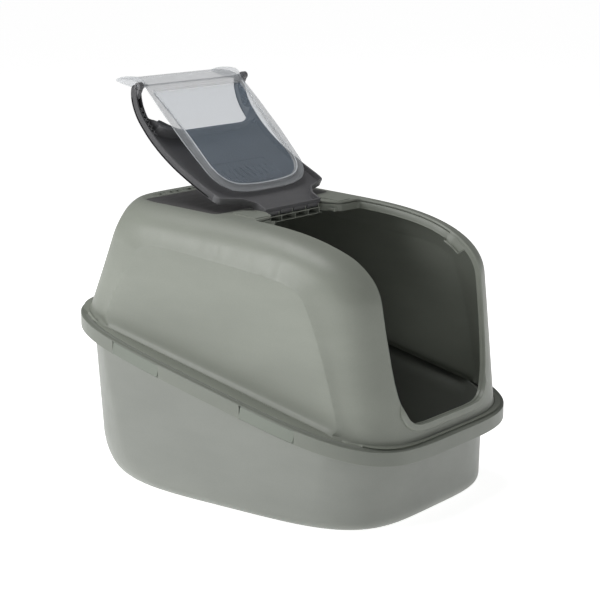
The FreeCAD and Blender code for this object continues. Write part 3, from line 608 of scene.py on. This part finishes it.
def build_pan():
    """One closed solid, ring by ring: up the outside, over the rim and down the inside."""
    stations = [0, 0.004, 0.012, 0.025, 0.045, 0.07, 0.1, 0.14, 0.19, 0.25, 0.32, 0.4, 0.5, 0.6, 0.7, 0.8,
                0.88, 0.93, 0.96, 0.98, 1.0]
    rings = [pan_ring(s, 0, 0, -6.5) for s in stations]
    rings += [rim_ring(0, 2.6, -6.5), rim_ring(0, 2.6, -22.6), rim_ring(0, 1.9, -23.0)]
    recessed = in_recess(rim_ring(0, 0, 0))[:, None]
    for inset, deep, offset in ((0.5, 3.1, -23.0), (0.0, 3.1, -22.5), (0.0, 3.1, -21.0), (0.0, 3.1, -12.0),
                                (0.0, 3.1, -3.6), (0.0, 6.8, -3.4), (0.0, 6.8, -1.2)):
        rings.append(np.where(recessed, rim_ring(0, deep, offset), rim_ring(0, inset, offset)))
    rings.append(np.where(recessed, rim_ring(0, 0.5, -1.15), rim_ring(0, 0.0, -1.0)))
    for share, inset, offset in ((0, 0.25, -0.75), (0, 0.9, -0.25), (0, 1.8, 0.0), (0.5, 0, 0.0),
                                 (0.86, 0, 0.0), (0.93, 0, -0.3), (0.95, 0, -1.0), (0.96, 0, -3.8),
                                 (1, 4, -3.8)):
        rings.append(rim_ring(share, inset, offset))
    inner = [pan_ring(s, WALL, 2.6, -3.8) for s in stations]
    lip = inner[-1] + [0, 0, 1.6]
    for inset, offset in ((-0.4, -3.8), (0.2, -2.4), (1.0, -2.0)):
        rings.append(pan_ring(1.0, inset, 2.6, offset))
    return ring_solid(rings + [lip] + inner[::-1])


def on_rim(points):
    """Which points are on the rim's outside."""
    rise = points[:, 2] - rim_height(points[:, 1])
    beyond = np.abs(points[:, 0] / 236) ** RIM_POWER + np.abs(points[:, 1] / 319) ** RIM_POWER
    return (rise > -23.5) & (rise < 0.3) & (beyond > 1)


pan_points, pan_faces = build_pan()
# The faces on the rim's outside take the rim's painted shade.
rim_shade_points = on_rim(pan_points)
repaint(make_object("pan_shell", pan_points, pan_faces, SAGE_PAN, "pan"), RIM_PAINTED_SHADE,
        [rim_shade_points[face].all() for face in pan_faces])

# --- Hood
THROAT = 75.5


def hood_profile(station):
    """The hood's front, back and half width at a station: 0 at the rim, 1 at the top."""
    front = 313 - 44 * station - 205 * shoulder(station, 0.69, 2.4)
    back = 318 - 95 * station - 6 * shoulder(station, 0.9, 2)
    return front, back, 215.5 - 60 * shoulder(station, 0.69, 2)


def hood_ring(station, grow=0.0):
    """A ring of the hood, cut off by the flat facets at its sides, and how far each point was beyond them."""
    front, back, width = (v + grow for v in hood_profile(station))
    level = RIM_LEVEL + (TOP_LEVEL - RIM_LEVEL) * station
    slope = RIM_SLOPE + (TOP_SLOPE - RIM_SLOPE) * station
    points = ring(ANGLES, front, back, width, 4.9 + 0.8 * station, level, slope)
    x, y, z = points.T
    foot = np.clip(z - rim_height(y), 0, None)
    flat = 202.5 + 0.058 * (z - 210) - 0.0067 * y + 5.0 * np.exp(-(foot / 7) ** 1.3)
    beyond = np.abs(x) - flat
    short = np.clip(-beyond, 0, None)
    points[:, 0] -= np.sign(x) * 1.6 * short * np.exp(-short / 5) * (1 - station ** 6)
    points[:, 0] = np.sign(x) * np.minimum(np.abs(x), flat)
    return points, beyond


def hood_stations():
    """Stations spaced evenly along the hood's front and shoulder."""
    s = np.linspace(0, 1, 6001)
    front = np.array([hood_profile(v)[0] for v in s])
    height = RIM_LEVEL + (TOP_LEVEL - RIM_LEVEL) * s - (RIM_SLOPE + (TOP_SLOPE - RIM_SLOPE) * s) * front
    run = np.concatenate([[0], np.cumsum(np.hypot(np.diff(front), np.diff(height)))])
    return np.interp(np.linspace(0, run[-1], 121), run, s)


# The right half of the opening's outline: up the front as (x, z), then back over the top as (x, y).
FRONT_EDGE = [(0, 160), (60, 160), (84, 161.5), (97, 165), (108, 173), (116, 186), (122, 199), (127, 213),
              (131.5, 234), (134.5, 258), (137.5, 290), (140, 320), (141.5, 350), (142, 372), (142, 600)]
TOP_EDGE = [(142, -600), (142, -250), (141.5, -228), (143, -212), (144.5, -190), (144.5, -160), (143.5, -118),
            (142.5, -75), (141.5, -38), (138.5, -35), (97, -32), (88, -26), (77.5, -9), (THROAT, -4),
            (THROAT, 17)]
FRONT_OUTLINE = mirrored(FRONT_EDGE)
TOP_OUTLINE = mirrored(TOP_EDGE)


def opening_field(points):
    """Positive where the hood's skin is, negative in the opening."""
    x, y, z = points[..., 0], points[..., 1], points[..., 2]
    front = outside(x, z, FRONT_OUTLINE)
    top = outside(x, y, TOP_OUTLINE)
    share = np.where(y > -150, 1.0, smoothstep(380, 402, z))
    return front * (1 - share) + top * share


COVER_EDGE = rectangle(153.9, 110, 77, 13)
WING_EDGE = rounded([(94.2, -27.8), (127.8, -27.8), (127.8, 25.8), (94.2, 25.8)], [0.8, 0.8, 19, 0.8], 9)


def slot_field(x, y, centres, middle, half, radius):
    """Distance outside the nearest of a row of slots along y."""
    along = np.maximum(np.abs(y - middle) - half, 0)
    return np.min([np.hypot(x - centre, along) for centre in centres], axis=0) - radius


# Behind the cover: six groups of six slots.
VENT_CENTRES = [(group - 2.5) * 38 + (index - 2.5) * 5.2 for group in range(6) for index in range(6)]
VENTS = VENT_CENTRES, 198.5, 3.4, 1.9


def cap_plane(x, y):
    return np.stack([x, y, top_height(y)], axis=-1)


def build_cap():
    """The hood's flat top, with its openings, as a fine grid."""
    xs = np.linspace(-157, 157, 262)
    ys = np.concatenate([np.arange(-66, 190, 2.0), np.arange(190, 208, 0.75), np.arange(208, 221, 1.6)])
    x, y = np.meshgrid(xs, ys, indexing="ij")
    edges = [outside(x, y, outline) for outline in (TOP_OUTLINE, COVER_EDGE, WING_EDGE)]
    field = np.min([-outside(x, y, hood_ring(1.0)[0][:, :2]), *edges, outside(-x, y, WING_EDGE),
                    slot_field(x, y, *VENTS)], axis=0)
    return cut_grid(cap_plane(x, y), field)


HOOD_RINGS, FACET_FIELD = (np.array(part) for part in zip(*[hood_ring(s) for s in hood_stations()]))


def flange_rings():
    """The foot: the flange's edge and top, then a small fillet up to the wall."""
    out = []
    for inset, drop in ((0.0, -3.3), (0.0, -0.9), (0.3, -0.3), (1.1, 0.0)):
        out.append(ring(ANGLES, 317.5 - inset, 321 - inset, 231.5 - inset, RIM_POWER, RIM_LEVEL + drop,
                        RIM_SLOPE))
    for grow, rise in ((9.0, 0.05), (4.0, 0.3), (1.8, 1.0), (0.5, 2.4)):
        out.append(hood_ring(0.0, grow)[0] + [0, 0, rise])
    return np.array(out)


def build_hood_skin():
    """The hood's sides, welded to their facets along a crease, and its flat top."""
    flange = flange_rings()
    points = np.concatenate([flange, HOOD_RINGS[2:]])
    field = opening_field(points)
    field[:len(flange)] = np.maximum(field[:len(flange)], 5.0)
    facet = np.concatenate([np.tile(FACET_FIELD[1], (len(flange), 1)), FACET_FIELD[2:]])
    flat = cut_grid(points, np.minimum(field, facet), True)
    rest = cut_grid(points, np.minimum(field, -facet), True)
    side_points, side_faces, crease = weld(rest, flat)
    normals = vertex_normals(side_points, side_faces)
    if (normals[:, :2] * side_points[:, :2]).sum() < 0:
        side_faces = flip(side_faces)
    return (side_points, side_faces), facing(*build_cap()), crease


side_skin, cap_skin, facet_crease = build_hood_skin()
make_object("hood_skin", *merge(thicken(*side_skin, WALL), thicken(*cap_skin, WALL)), SAGE, "hood",
            crease=facet_crease)


def hood_surface():
    """The whole uncut outer surface, to find points and directions on it."""
    points = HOOD_RINGS.reshape(-1, 3)
    faces = grid_faces(len(HOOD_RINGS), len(ANGLES), True)
    centre = cap_plane(np.zeros(1), np.array([75.0]))
    last = (len(HOOD_RINGS) - 1) * len(ANGLES)
    faces += [[len(points), last + j, last + (j + 1) % len(ANGLES)] for j in range(len(ANGLES))]
    return BVHTree.FromPolygons([Vector(p) for p in np.vstack([points, centre])], faces)


SURFACE = hood_surface()


def drop_on_hood(x, y=None, z=None):
    """The point on the hood's surface straight below (x, y), or straight behind (x, z), and its normal."""
    if z is None:
        start, way = Vector((x, y, 700)), Vector((0, 0, -1))
    else:
        start, way = Vector((x, -700, z)), Vector((0, 1, 0))
    spot, normal, _, _ = SURFACE.ray_cast(start, way)
    normal = normal if normal.dot(way) < 0 else -normal
    return np.array(spot), np.array(normal)


MEETING_HEIGHT = 396  # where the front's outline hands over to the top's


def opening_path():
    """The opening's edge on the hood's surface, all the way round from the middle of the sill."""
    low = resample(FRONT_EDGE[:-1] + [(142, MEETING_HEIGHT)], 1.5)
    high = resample([(142, -236)] + TOP_EDGE[2:] + [(0, 17)], 1.5)
    found = [np.concatenate(drop_on_hood(x, z=z)) for x, z in low]
    found = [spot for spot in found if spot[2] < MEETING_HEIGHT]
    last_y = found[-1][1]
    found += [spot for spot in (np.concatenate(drop_on_hood(x, y=y)) for x, y in high)
              if spot[1] > last_y + 1 or spot[0] < 100]
    right = resample(found, 3.0)
    right = right[np.abs(right[:, 0]) > 0.5]
    loop = np.vstack([right, right[::-1] * [-1, 1, 1, -1, 1, 1]])
    normals = soften(loop[:, 3:], 4, True)
    return soften(loop[:, :3], 1, True), normals / np.linalg.norm(normals, axis=1, keepdims=True)


EDGE, EDGE_NORMALS = opening_path()


def edge_sections():
    """The trim's section at each point of the edge: a bead outside, a groove, and a wall inwards."""
    out = []
    for x, y, z in EDGE:
        upper = y > -217
        curved = not upper and z > 400
        deep = 16.0 if upper else 20.0 if curved else 9.0
        slot = -2.6 if upper else 0.2
        wide = 0.1 if curved or y > -290 else 0.9
        if upper:
            wide = 0.1 + 1.4 * float(smoothstep(142, 143.6, abs(x)))
        lip = 5.5 if curved else 0.2
        band = float(1 - smoothstep(184, 204, z))
        rise = 0.45 + 2.7 * band
        out_by = 1.6 + 9.0 * band
        wall = 0.3 + wide
        out.append([(-out_by, -0.9), (-out_by, 0.15 + (rise - 0.45) * 0.6),
                    (-out_by + 0.7 + 0.6 * band, rise - 0.12), (-out_by * 0.35, rise), (-0.1, rise - 0.1),
                    (0.3, rise - 0.6), (0.3, -2.6), (slot, -2.7), (slot, -4.4), (0.3, -4.5), (wall, -4.6),
                    (wall + 0.3, -5.2), (wall + 0.2, -deep + 2.2), (wall + lip, -deep + 1.8),
                    (wall + 0.3 + lip, -deep + 1.0), (wall + lip, -deep), (0.2, -deep), (-3.2, -deep + 0.4),
                    (-3.2, -2.8), (-1.6, -2.6), (-1.6, -1.2)])
    return out


# On this path a swept section's first axis points out of the opening.
sections = np.array(edge_sections()) * [-1, 1]
make_object("hood_opening_trim", *sweep(EDGE, EDGE_NORMALS, sections, True), SAGE, "hood")


# --- Hood: parts of its top
def plate_on_top(outline, depth, holes=()):
    """A plate parallel to the hood's top, depth below it, with an outline and holes."""
    low, high = outline.min(axis=0), outline.max(axis=0)
    along = [np.linspace(a - 0.5, b + 0.5, int((b - a) / 2.5) + 2) for a, b in zip(low, high)]
    x, y = np.meshgrid(*along, indexing="ij")
    field = -outside(x, y, outline)
    for hole in holes:
        field = np.minimum(field, outside(x, y, hole))
    return thicken(*cut_grid(cap_plane(x, y) - [0, 0, depth], field), WALL)


def cad_region(node, keep):
    """The faces of a CAD node that lie wholly inside a region, in millimetres."""
    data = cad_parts[node].data
    points = np.array([v.co for v in data.vertices]) / MM
    chosen = keep(points)
    faces = [list(f.vertices) for f in data.polygons if all(chosen[v] for v in f.vertices)]
    return keep_used(points, faces)[:2]


TRAY_EDGE = rectangle(76.2, 108, 53.2, 7)
HINGE_AXIS = np.array([0, 1.7, 455.0])
PIN_RADIUS, BORE_RADIUS = 3.0, 3.12
RIB_PITCH = 36.0


def hinge_parts():
    """The slotted box under the panel's hinge, its ribs and its pin."""
    parts = [rod(HINGE_AXIS - [73.4, 0, 0], HINGE_AXIS + [73.4, 0, 0], PIN_RADIUS),
             block((-67.6, -9.2, 448.9), (67.6, -7.8, 450.4), 0.4),
             block((-79.4, 11, 436), (79.4, 13.7, 446)), block((-79.4, 11, 443), (79.4, 20, 446)),
             block((-79.4, 17.3, 443), (79.4, 20, 459.8)), block((-75, -7.0, 439.5), (75, 12, 441), 0.4)]
    for index in range(5):
        x = (index - 2) * RIB_PITCH
        inner = min(abs(x), 66.5) * np.sign(x)
        parts.append(block((inner - 1.1, -8.2, 440.3), (inner + 1.1, 12, 449.6), 0.3))
        parts.append(block((x - 1.6, -2.5, 440.3), (x + 1.6, 5.9, 455), 0.3))
        parts.append(rod(HINGE_AXIS + [x - 1.6, 0, 0], HINGE_AXIS + [x + 1.6, 0, 0], 4.2))
    for side in (-1, 1):
        low, high = sorted((side * 80.0, side * 81.6))
        parts.append(block((low, -27.4, 443.0), (high, 12, 447.6), 0.4))
        low, high = sorted((side * 80.0, side * 97.0))
        parts.append(block((low, -28.6, 442.0), (high, -27.0, 448.2), 0.4))
    return merge(*parts)


def in_tray(points):
    """Which of the CAD hood's points belong to the carbon filter's tray."""
    return ((np.abs(points) < [80.5, 165, 463.2]) & (points > [-80.5, 51, 441])).all(axis=1)


floor_of_recess = plate_on_top(COVER_EDGE, 3.0, [TRAY_EDGE])
wing_floors = [plate_on_top(WING_EDGE * [side, 1], 1.65) for side in (-1, 1)]
make_object("hood_top_recesses", *merge(floor_of_recess, *wing_floors), SAGE, "hood")
make_object("hood_hinge_box", *hinge_parts(), SAGE, "hood")
make_object("hood_filter_tray", *cad_region("hood", in_tray), SAGE, "hood")

# --- Front panel: shaped closed, with the hinge's axis as origin, then swung open
PANEL_TOP = [(-283.5, -78.5), (-273.7, -60.0), (-256, -41.5), (-225, -24.5), (-190, -12.5), (-150, -4.5),
             (-105, -0.6), (-60, 0.6), (-8, 1.0), (2, 1.0)]
panel_height = spline(*zip(*PANEL_TOP))
OPEN_ANGLE = math.radians(-153.2)


def turned(points, angle, origin):
    """Points turned about an axis along X through their own origin, then moved."""
    points = np.asarray(points, float)
    c, s = math.cos(angle), math.sin(angle)
    y, z = points[..., 1], points[..., 2]
    return np.stack([points[..., 0], c * y - s * z, s * y + c * z], axis=-1) + origin


def on_panel(x, y, depth=0.0):
    """A point on the closed panel, depth under its outer face, and the outer face's normal there."""
    x, y = np.broadcast_arrays(np.asarray(x, float), np.asarray(y, float))
    slope = panel_height(y + 0.5) - panel_height(y - 0.5)
    length = np.hypot(1, slope)
    normal = np.stack([np.zeros_like(y), -slope / length, 1 / length], axis=-1)
    return np.stack([x, y, panel_height(y)], axis=-1) - normal * depth, normal


PANEL_HALF, TIP, PANEL_SKIN = 140.4, -283.3, 3.0
PANEL_SIDE = [(74.5, 3.5), (75.5, -17), (92, -33), (137, -44), (PANEL_HALF, -57), (PANEL_HALF, TIP),
              (124, TIP), (124, -218), (82, -206)]
PANEL_RADII = [2, 5, 4, 9, 6, 7, 3, 14, 20]
PLAN = rounded(mirrored(PANEL_SIDE), PANEL_RADII + PANEL_RADII[::-1])
# The ledge lies between two outlines.
U_INNER = rounded(mirrored([(84, -206), (108, -225), (121, -233), (121, -310)]), [22, 16, 3, 0, 0, 3, 16, 22])
U_OUTER = rounded(mirrored([(84, -204), (126, -216), (126, -310)]), [20, 12, 0, 0, 12, 20])
PANEL_SLOTS = [(index - 4) * 16.0 for index in range(9)], -107, 10.4, 2.3


def panel_grid(low_y, high_y, half, step):
    """Rows of even spacing along the panel's curve."""
    y = np.linspace(low_y, high_y, 2000)
    run = np.concatenate([[0], np.cumsum(np.hypot(np.diff(y), np.diff(panel_height(y))))])
    rows = np.interp(np.linspace(0, run[-1], int(run[-1] / step) + 2), run, y)
    columns = np.linspace(-half, half, int(2 * half / step) + 2)
    return np.meshgrid(columns, rows, indexing="ij")


def open_panel(points):
    return turned(points, OPEN_ANGLE, HINGE_AXIS)


def build_panel():
    """The panel's skin with its slots, its skirt, the visor's ledge and the frame of the vent tray."""
    x, y = panel_grid(TIP - 1, 5, PANEL_HALF + 1.5, 1.6)
    field = np.minimum(-outside(x, y, PLAN), slot_field(x, y, *PANEL_SLOTS))
    skin = thicken(*facing(*cut_grid(on_panel(x, y)[0], field)), PANEL_SKIN)
    # The skirt round the outside, and a deeper wall along the cut-out between the legs.
    loop = resample(PLAN[::-1], 2.0, True)
    spots, normals = on_panel(loop[:, 0], loop[:, 1])
    in_cut = (np.abs(loop[:, 0]) < 125.5) & (loop[:, 1] < -204)
    sections = []
    for cut, (_, y) in zip(in_cut, loop):
        deep = 9.0 + 12.8 * float(smoothstep(-246, -228, y)) if cut else 12.0
        sections.append([(-0.9, 0.05), (-0.25, -0.15), (0, -0.8), (0, -deep + 0.6), (-0.6, -deep),
                         (-2.3, -deep), (-2.9, -deep + 0.6), (-2.9, -1.6)])
    skirt = sweep(spots, normals, sections, True)
    # The ledge on which the visor comes to lie.
    x, y = panel_grid(-251, -198, 128, 1.8)
    leaf_slots = np.maximum(119.6 - np.abs(x), y + 230)
    field = np.min([outside(x, y, U_INNER), -outside(x, y, U_OUTER), y + 250, leaf_slots], axis=0)
    ledge = thicken(*facing(*cut_grid(on_panel(x, y, 19.6)[0], field)), 2.3)
    # The raised frame of the vent tray on the inner side.
    corners = [(-80.4, -80.5), (-80.4, -137.5), (80.4, -137.5), (80.4, -80.5)]
    loop = resample(rounded(corners, 7), 2.5, True)
    bar = [(-1.5, 0.4), (-1.5, -0.7), (-0.8, -1.2), (0.8, -1.2), (1.5, -0.7), (1.5, 0.4)]
    tray = sweep(*on_panel(*loop.T, PANEL_SKIN), bar, True)
    return merge(skin, skirt, ledge, tray)


def tube(x0, x1, place, outer):
    """A round tube along X about a place, with eased outer edges."""
    sides, ease = 32, 0.5
    wheel = np.stack([np.zeros(sides), np.cos(circle(sides)), np.sin(circle(sides))], axis=-1)
    profile = [(x0, outer - ease), (x0 + ease, outer), (x1 - ease, outer), (x1, outer - ease),
               (x1, BORE_RADIUS), (x0, BORE_RADIUS)]
    points = np.vstack([wheel * radius + [x, *place] for x, radius in profile])
    return outwards(points, grid_faces(6, sides, True) + join_rows(6, sides))


PIVOT = np.array([0, math.cos(math.radians(17)) * TIP, math.sin(math.radians(17)) * TIP])


def panel_fittings():
    """Hinge knuckles, bosses for the flap's pins, and the crossed ribs inside the legs."""
    parts = []
    for index in range(4):
        x = (index - 1.5) * RIB_PITCH
        parts.append(tube(x - 15.2, x + 15.2, (0, 0), 5.6))
        parts.append(block((x - 15, -9, -2.4), (x + 15, -3.4, 0.9), 0.4))
    for side in (-1, 1):
        low, high = sorted((side * 129.4, side * 139.2))
        parts.append(tube(low, high, PIVOT[1:], 6.4))
        parts.append(block((low, -277, -79.4), (high, -265, -62), 0.4))
        zigzag = np.linspace(-212, -262, 7)
        for start in (0, 1):
            line = [(side * (127.2 if (k + start) % 2 else 137.4), y) for k, y in enumerate(zigzag)]
            rib = [(-0.6, 0.4), (-0.6, -7.2), (-0.3, -7.5), (0.3, -7.5), (0.6, -7.2), (0.6, 0.4)]
            parts.append(sweep(*on_panel(*resample(line, 1.6).T, PANEL_SKIN), rib, False))
    return merge(*parts)


def painted_shade_places(spots):
    """Which places of the closed panel take painted shade: slots, outer sides, legs and cut-out."""
    x, y = np.abs(spots[:, 0]), spots[:, 1]
    in_leg = (y < -214) & (x > 124.4)
    along_cut = (y < -203) & (x < 126) & (outside(spots[:, 0], y, PLAN) > -3.1)
    by_slot = np.abs(slot_field(spots[:, 0], y, *PANEL_SLOTS)) < 0.5
    return by_slot | (x > PANEL_HALF - 0.6) | in_leg | along_cut


shell, fittings = build_panel(), panel_fittings()
# The slots, outer sides, legs and cut-out of the panel get painted shade.
repaint(make_object("panel_shell", open_panel(shell[0]), shell[1], GREY, "front_panel"), GREY_PAINTED_SHADE,
        painted_shade_places(np.array([shell[0][face].mean(axis=0) for face in shell[1]])))
make_object("panel_fittings", open_panel(fittings[0]), fittings[1], GREY, "front_panel")

# --- Flap: shaped flat with its pins' axis as origin
FLAP_ANGLE = math.radians(225.4)
FLAP_ORIGIN = open_panel(PIVOT)
FLAP_EDGE = mirrored([(0, 234), (41, 233.8), (69, 231), (93, 225), (111, 211), (121, 192), (124.5, 152),
                      (126.4, 119), (125.6, 48), (122.6, 2.5), (122, 1.2)])
FLAP_RIDGE = mirrored([(0, 222.6), (30, 221.8), (55, 219.8), (76, 216), (92, 208), (103, 194), (108, 176),
                       (107.5, 112), (109.5, 62), (115.5, 14), (114.5, 12)])


def build_flap():
    """The flap's clear pane, its frosted border, and the bead of its ridge."""
    edge = soften(resample(FLAP_EDGE, 3.0, True), 2, True)
    ridge = soften(resample(FLAP_RIDGE, 3.0, True), 3, True)
    x, t = np.meshgrid(np.linspace(-127.5, 127.5, 150), np.linspace(0.2, 235, 138), indexing="ij")
    border, inner = outside(x, t, edge), outside(x, t, ridge)
    toward = 0.9 * smoothstep(-3.4, -1.6, border) + 2.4 * np.exp(-((inner + 0.6) / 1.5) ** 2)
    toward -= 1.3 * (1 - smoothstep(-4.5, -1.0, inner))
    points = np.stack([x, t, -0.9 - toward], axis=-1)
    parts = [thicken(*facing(*cut_grid(points, field), up=False), 1.8)
             for field in (-(inner + 3.2), np.minimum(-border, inner + 3.2))]
    loop = np.array([p for p in ridge if p[1] > 13])
    start = int(np.argmax(np.hypot(*(np.roll(loop, 1, axis=0) - loop).T)))
    loop = np.roll(loop, -start, axis=0)
    spots = np.column_stack([loop, np.full(len(loop), -4.1)])
    bead = [(0.95 * math.cos(t), 0.8 * math.sin(t)) for t in circle(10)]
    return parts + [sweep(spots, np.tile([0.0, 0.0, -1.0], (len(spots), 1)), bead, False)]


def build_visor():
    """The curved sheet that turns back above the pins, with a leaf at each end, and the pins themselves."""
    half, reach = 121, 62
    x, r = np.meshgrid(np.linspace(-half, half, 110), np.linspace(0.5, reach, 34), indexing="ij")
    arch = spline([0, 18.6, 43.4, reach], [0, 6, 8, 6])
    plan = rounded(mirrored([(half, -10), (half, reach)]), [0, 12, 12, 0])
    parts = [thicken(*cut_grid(np.stack([x, r, arch(r)], axis=-1), -outside(x, r, plan)), 1.6)]
    leaf = resample([(-4, -2), (6, -5), (20, -4.6), (36, -2), (52, 1.8), (63.4, 5.4), (63.4, 7.0), (50, 11.6),
                     (36, 13.6), (20, 14), (6, 12.4), (-3, 5)], 2.0, True)
    leaf = soften(leaf, 4, True)
    middle = leaf.mean(axis=0)
    for side in (-1, 1):
        rings = []
        for share, off in ((0.93, 0.0), (1.0, 0.5), (1.0, 1.6), (0.93, 2.1)):
            shape = (leaf - middle) * share + middle
            rings.append(np.column_stack([np.full(len(shape), side * (half + off)), shape]))
        parts.append(outwards(*ring_solid(rings), (side * half, 30, 5)))
    points, faces = merge(*parts)
    points = turned(points, math.radians(134.6), np.zeros(3))
    pins = [rod((side * 115, 0, 0), (side * 138, 0, 0), PIN_RADIUS) for side in (-1, 1)]
    return merge((points, faces), rod((-122, 0, 0), (122, 0, 0), 1.2), *pins)


# The ridge bead's light colour is a painted highlight.
FLAP_MATERIALS = {"flap_pane": CLEAR, "flap_border": FROSTED, "flap_ridge": RIDGE_PAINTED_HIGHLIGHT, "flap_visor": FROSTED}
for (name, material), (points, faces) in zip(FLAP_MATERIALS.items(), build_flap() + [build_visor()]):
    make_object(name, turned(points, FLAP_ANGLE, FLAP_ORIGIN), faces, material, "flap", 50)

# --- Clips
def build_clip(side, centre):
    """A clip's plate, bent along the rim, and the rod it turns on."""
    y = np.linspace(centre - CLIP_HALF, centre + CLIP_HALF, 81)
    path = np.stack([side * rim_half(y), y, rim_height(y) - 12.0], axis=-1)
    sections = []
    for from_end in np.minimum(y - y[0], y[-1] - y):
        corner = 3 - math.sqrt(9 - max(0.0, 3 - from_end) ** 2)
        ease = 0.5 if from_end < 0.1 else 0.0
        top, low = 9.6 - corner, -10.2
        sections.append([(low, -WALL), (low, -0.6 - ease), (low + 0.6, -ease), (low + 2, -ease), (0, -ease),
                         (top - 2, -ease), (top - 0.6, -ease), (top, -0.6 - ease), (top, -WALL)])
    out = np.tile([float(side), 0.0, 0.0], (len(y), 1))
    plate = sweep(path, out, np.array(sections) * [side, 1], False)
    ends = [(side * (rim_half(end) - 3.4), end, rim_height(end) - 21.0)
            for end in (centre - CLIP_HALF - 3.5, centre + CLIP_HALF + 3.5)]
    return merge(plate, rod(*ends, 1.5, 20))


CLIPS = ["clip_%s_%s" % (end, hand) for end in CLIP_CENTRES for hand in ("left", "right")]
# The clips' plates take their greener sage darkened with painted shade.
for name in CLIPS:
    _, end, hand = name.split("_")
    make_object(name + "_plate", *build_clip(-1 if hand == "left" else 1, CLIP_CENTRES[end]), CLIP_PAINTED_SHADE, name)


# --- CAD nodes that pieces stand for, and better materials for those that stay
STANDS_FOR = {"pan_shell": "pan", "hood_skin": "hood", "panel_shell": "front_panel", "flap_pane": "flap"}
STANDS_FOR.update({name + "_plate": name for name in CLIPS})
for piece, node in STANDS_FOR.items():
    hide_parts(node)
# The hinge plates take their grey-green darkened with painted shade.
DRESSED = {"filter_cover": PLATE, "carbon_filter": CARBON, "hinge_plate_left": WING_PAINTED_SHADE,
           "hinge_plate_right": WING_PAINTED_SHADE}
for node, material in DRESSED.items():
    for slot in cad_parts[node].material_slots:
        slot.material = material


# --- Floor, lights and camera
def add_floor():
    """A pale round floor just under the pan, glowing enough to stay near white."""
    surface = Surface("pale_floor")
    mottle = surface.blend(surface.noise(1.3, 3.0), (0.86, 0.86, 0.86), (0.90, 0.90, 0.90))
    mesh = bpy.data.meshes.new("floor")
    radius, level, sides = 60, -0.0005, 96
    edge = [(radius * math.cos(t), radius * math.sin(t), level) for t in circle(sides)]
    mesh.from_pydata(edge, [], [list(range(sides))])
    mesh.materials.append(surface.finish(Base_Color=mottle, Roughness=0.9, Emission_Color=(1, 1, 1, 1),
                                         Emission_Strength=0.82))
    floor = add_object("floor", mesh)


def aim(obj, spot, target):
    obj.location = spot
    obj.rotation_euler = (Vector(target) - Vector(spot)).to_track_quat("-Z", "Y").to_euler()


def add_softbox(name, spot, height, size, watts):
    """A round light aimed at a height above the origin."""
    lamp = bpy.data.lights.new(name, "AREA")
    lamp.shape, lamp.size, lamp.energy = "DISK", size, watts
    aim(add_object(name, lamp), spot, (0, 0, height))


def add_camera():
    """The camera, placed by its azimuth, elevation and distance from a target on the pan's axis."""
    camera = bpy.data.cameras.new("camera")
    camera.sensor_width, camera.lens = 36.0, 105.25
    camera.shift_x, camera.shift_y = 0.0144, 0.1002
    azimuth, elevation, distance, height = math.radians(-52.85), math.radians(14.07), 2.9239, 0.2
    flat = distance * math.cos(elevation)
    spot = (math.sin(azimuth) * flat, -math.cos(azimuth) * flat, height + distance * math.sin(elevation))
    obj = add_object("camera", camera)
    aim(obj, spot, (0, 0, height))
    bpy.context.scene.camera = obj


add_floor()
add_camera()
add_softbox("side_softbox", (-3.1, 1.9, 1.6), 0.25, 2.0, 72)
add_softbox("front_softbox", (2.4, -3.0, 2.0), 0.25, 2.0, 3)
add_softbox("top_softbox", (-0.5, 0.7, 3.4), 0.3, 2.2, 58)
world = bpy.data.worlds.new("studio")
world.use_nodes = True
background = world.node_tree.nodes["Background"].inputs
background["Color"].default_value = (1, 1, 1, 1)
background["Strength"].default_value = 0.19
bpy.context.scene.world = world
bpy.context.scene.view_settings.view_transform = "Standard"
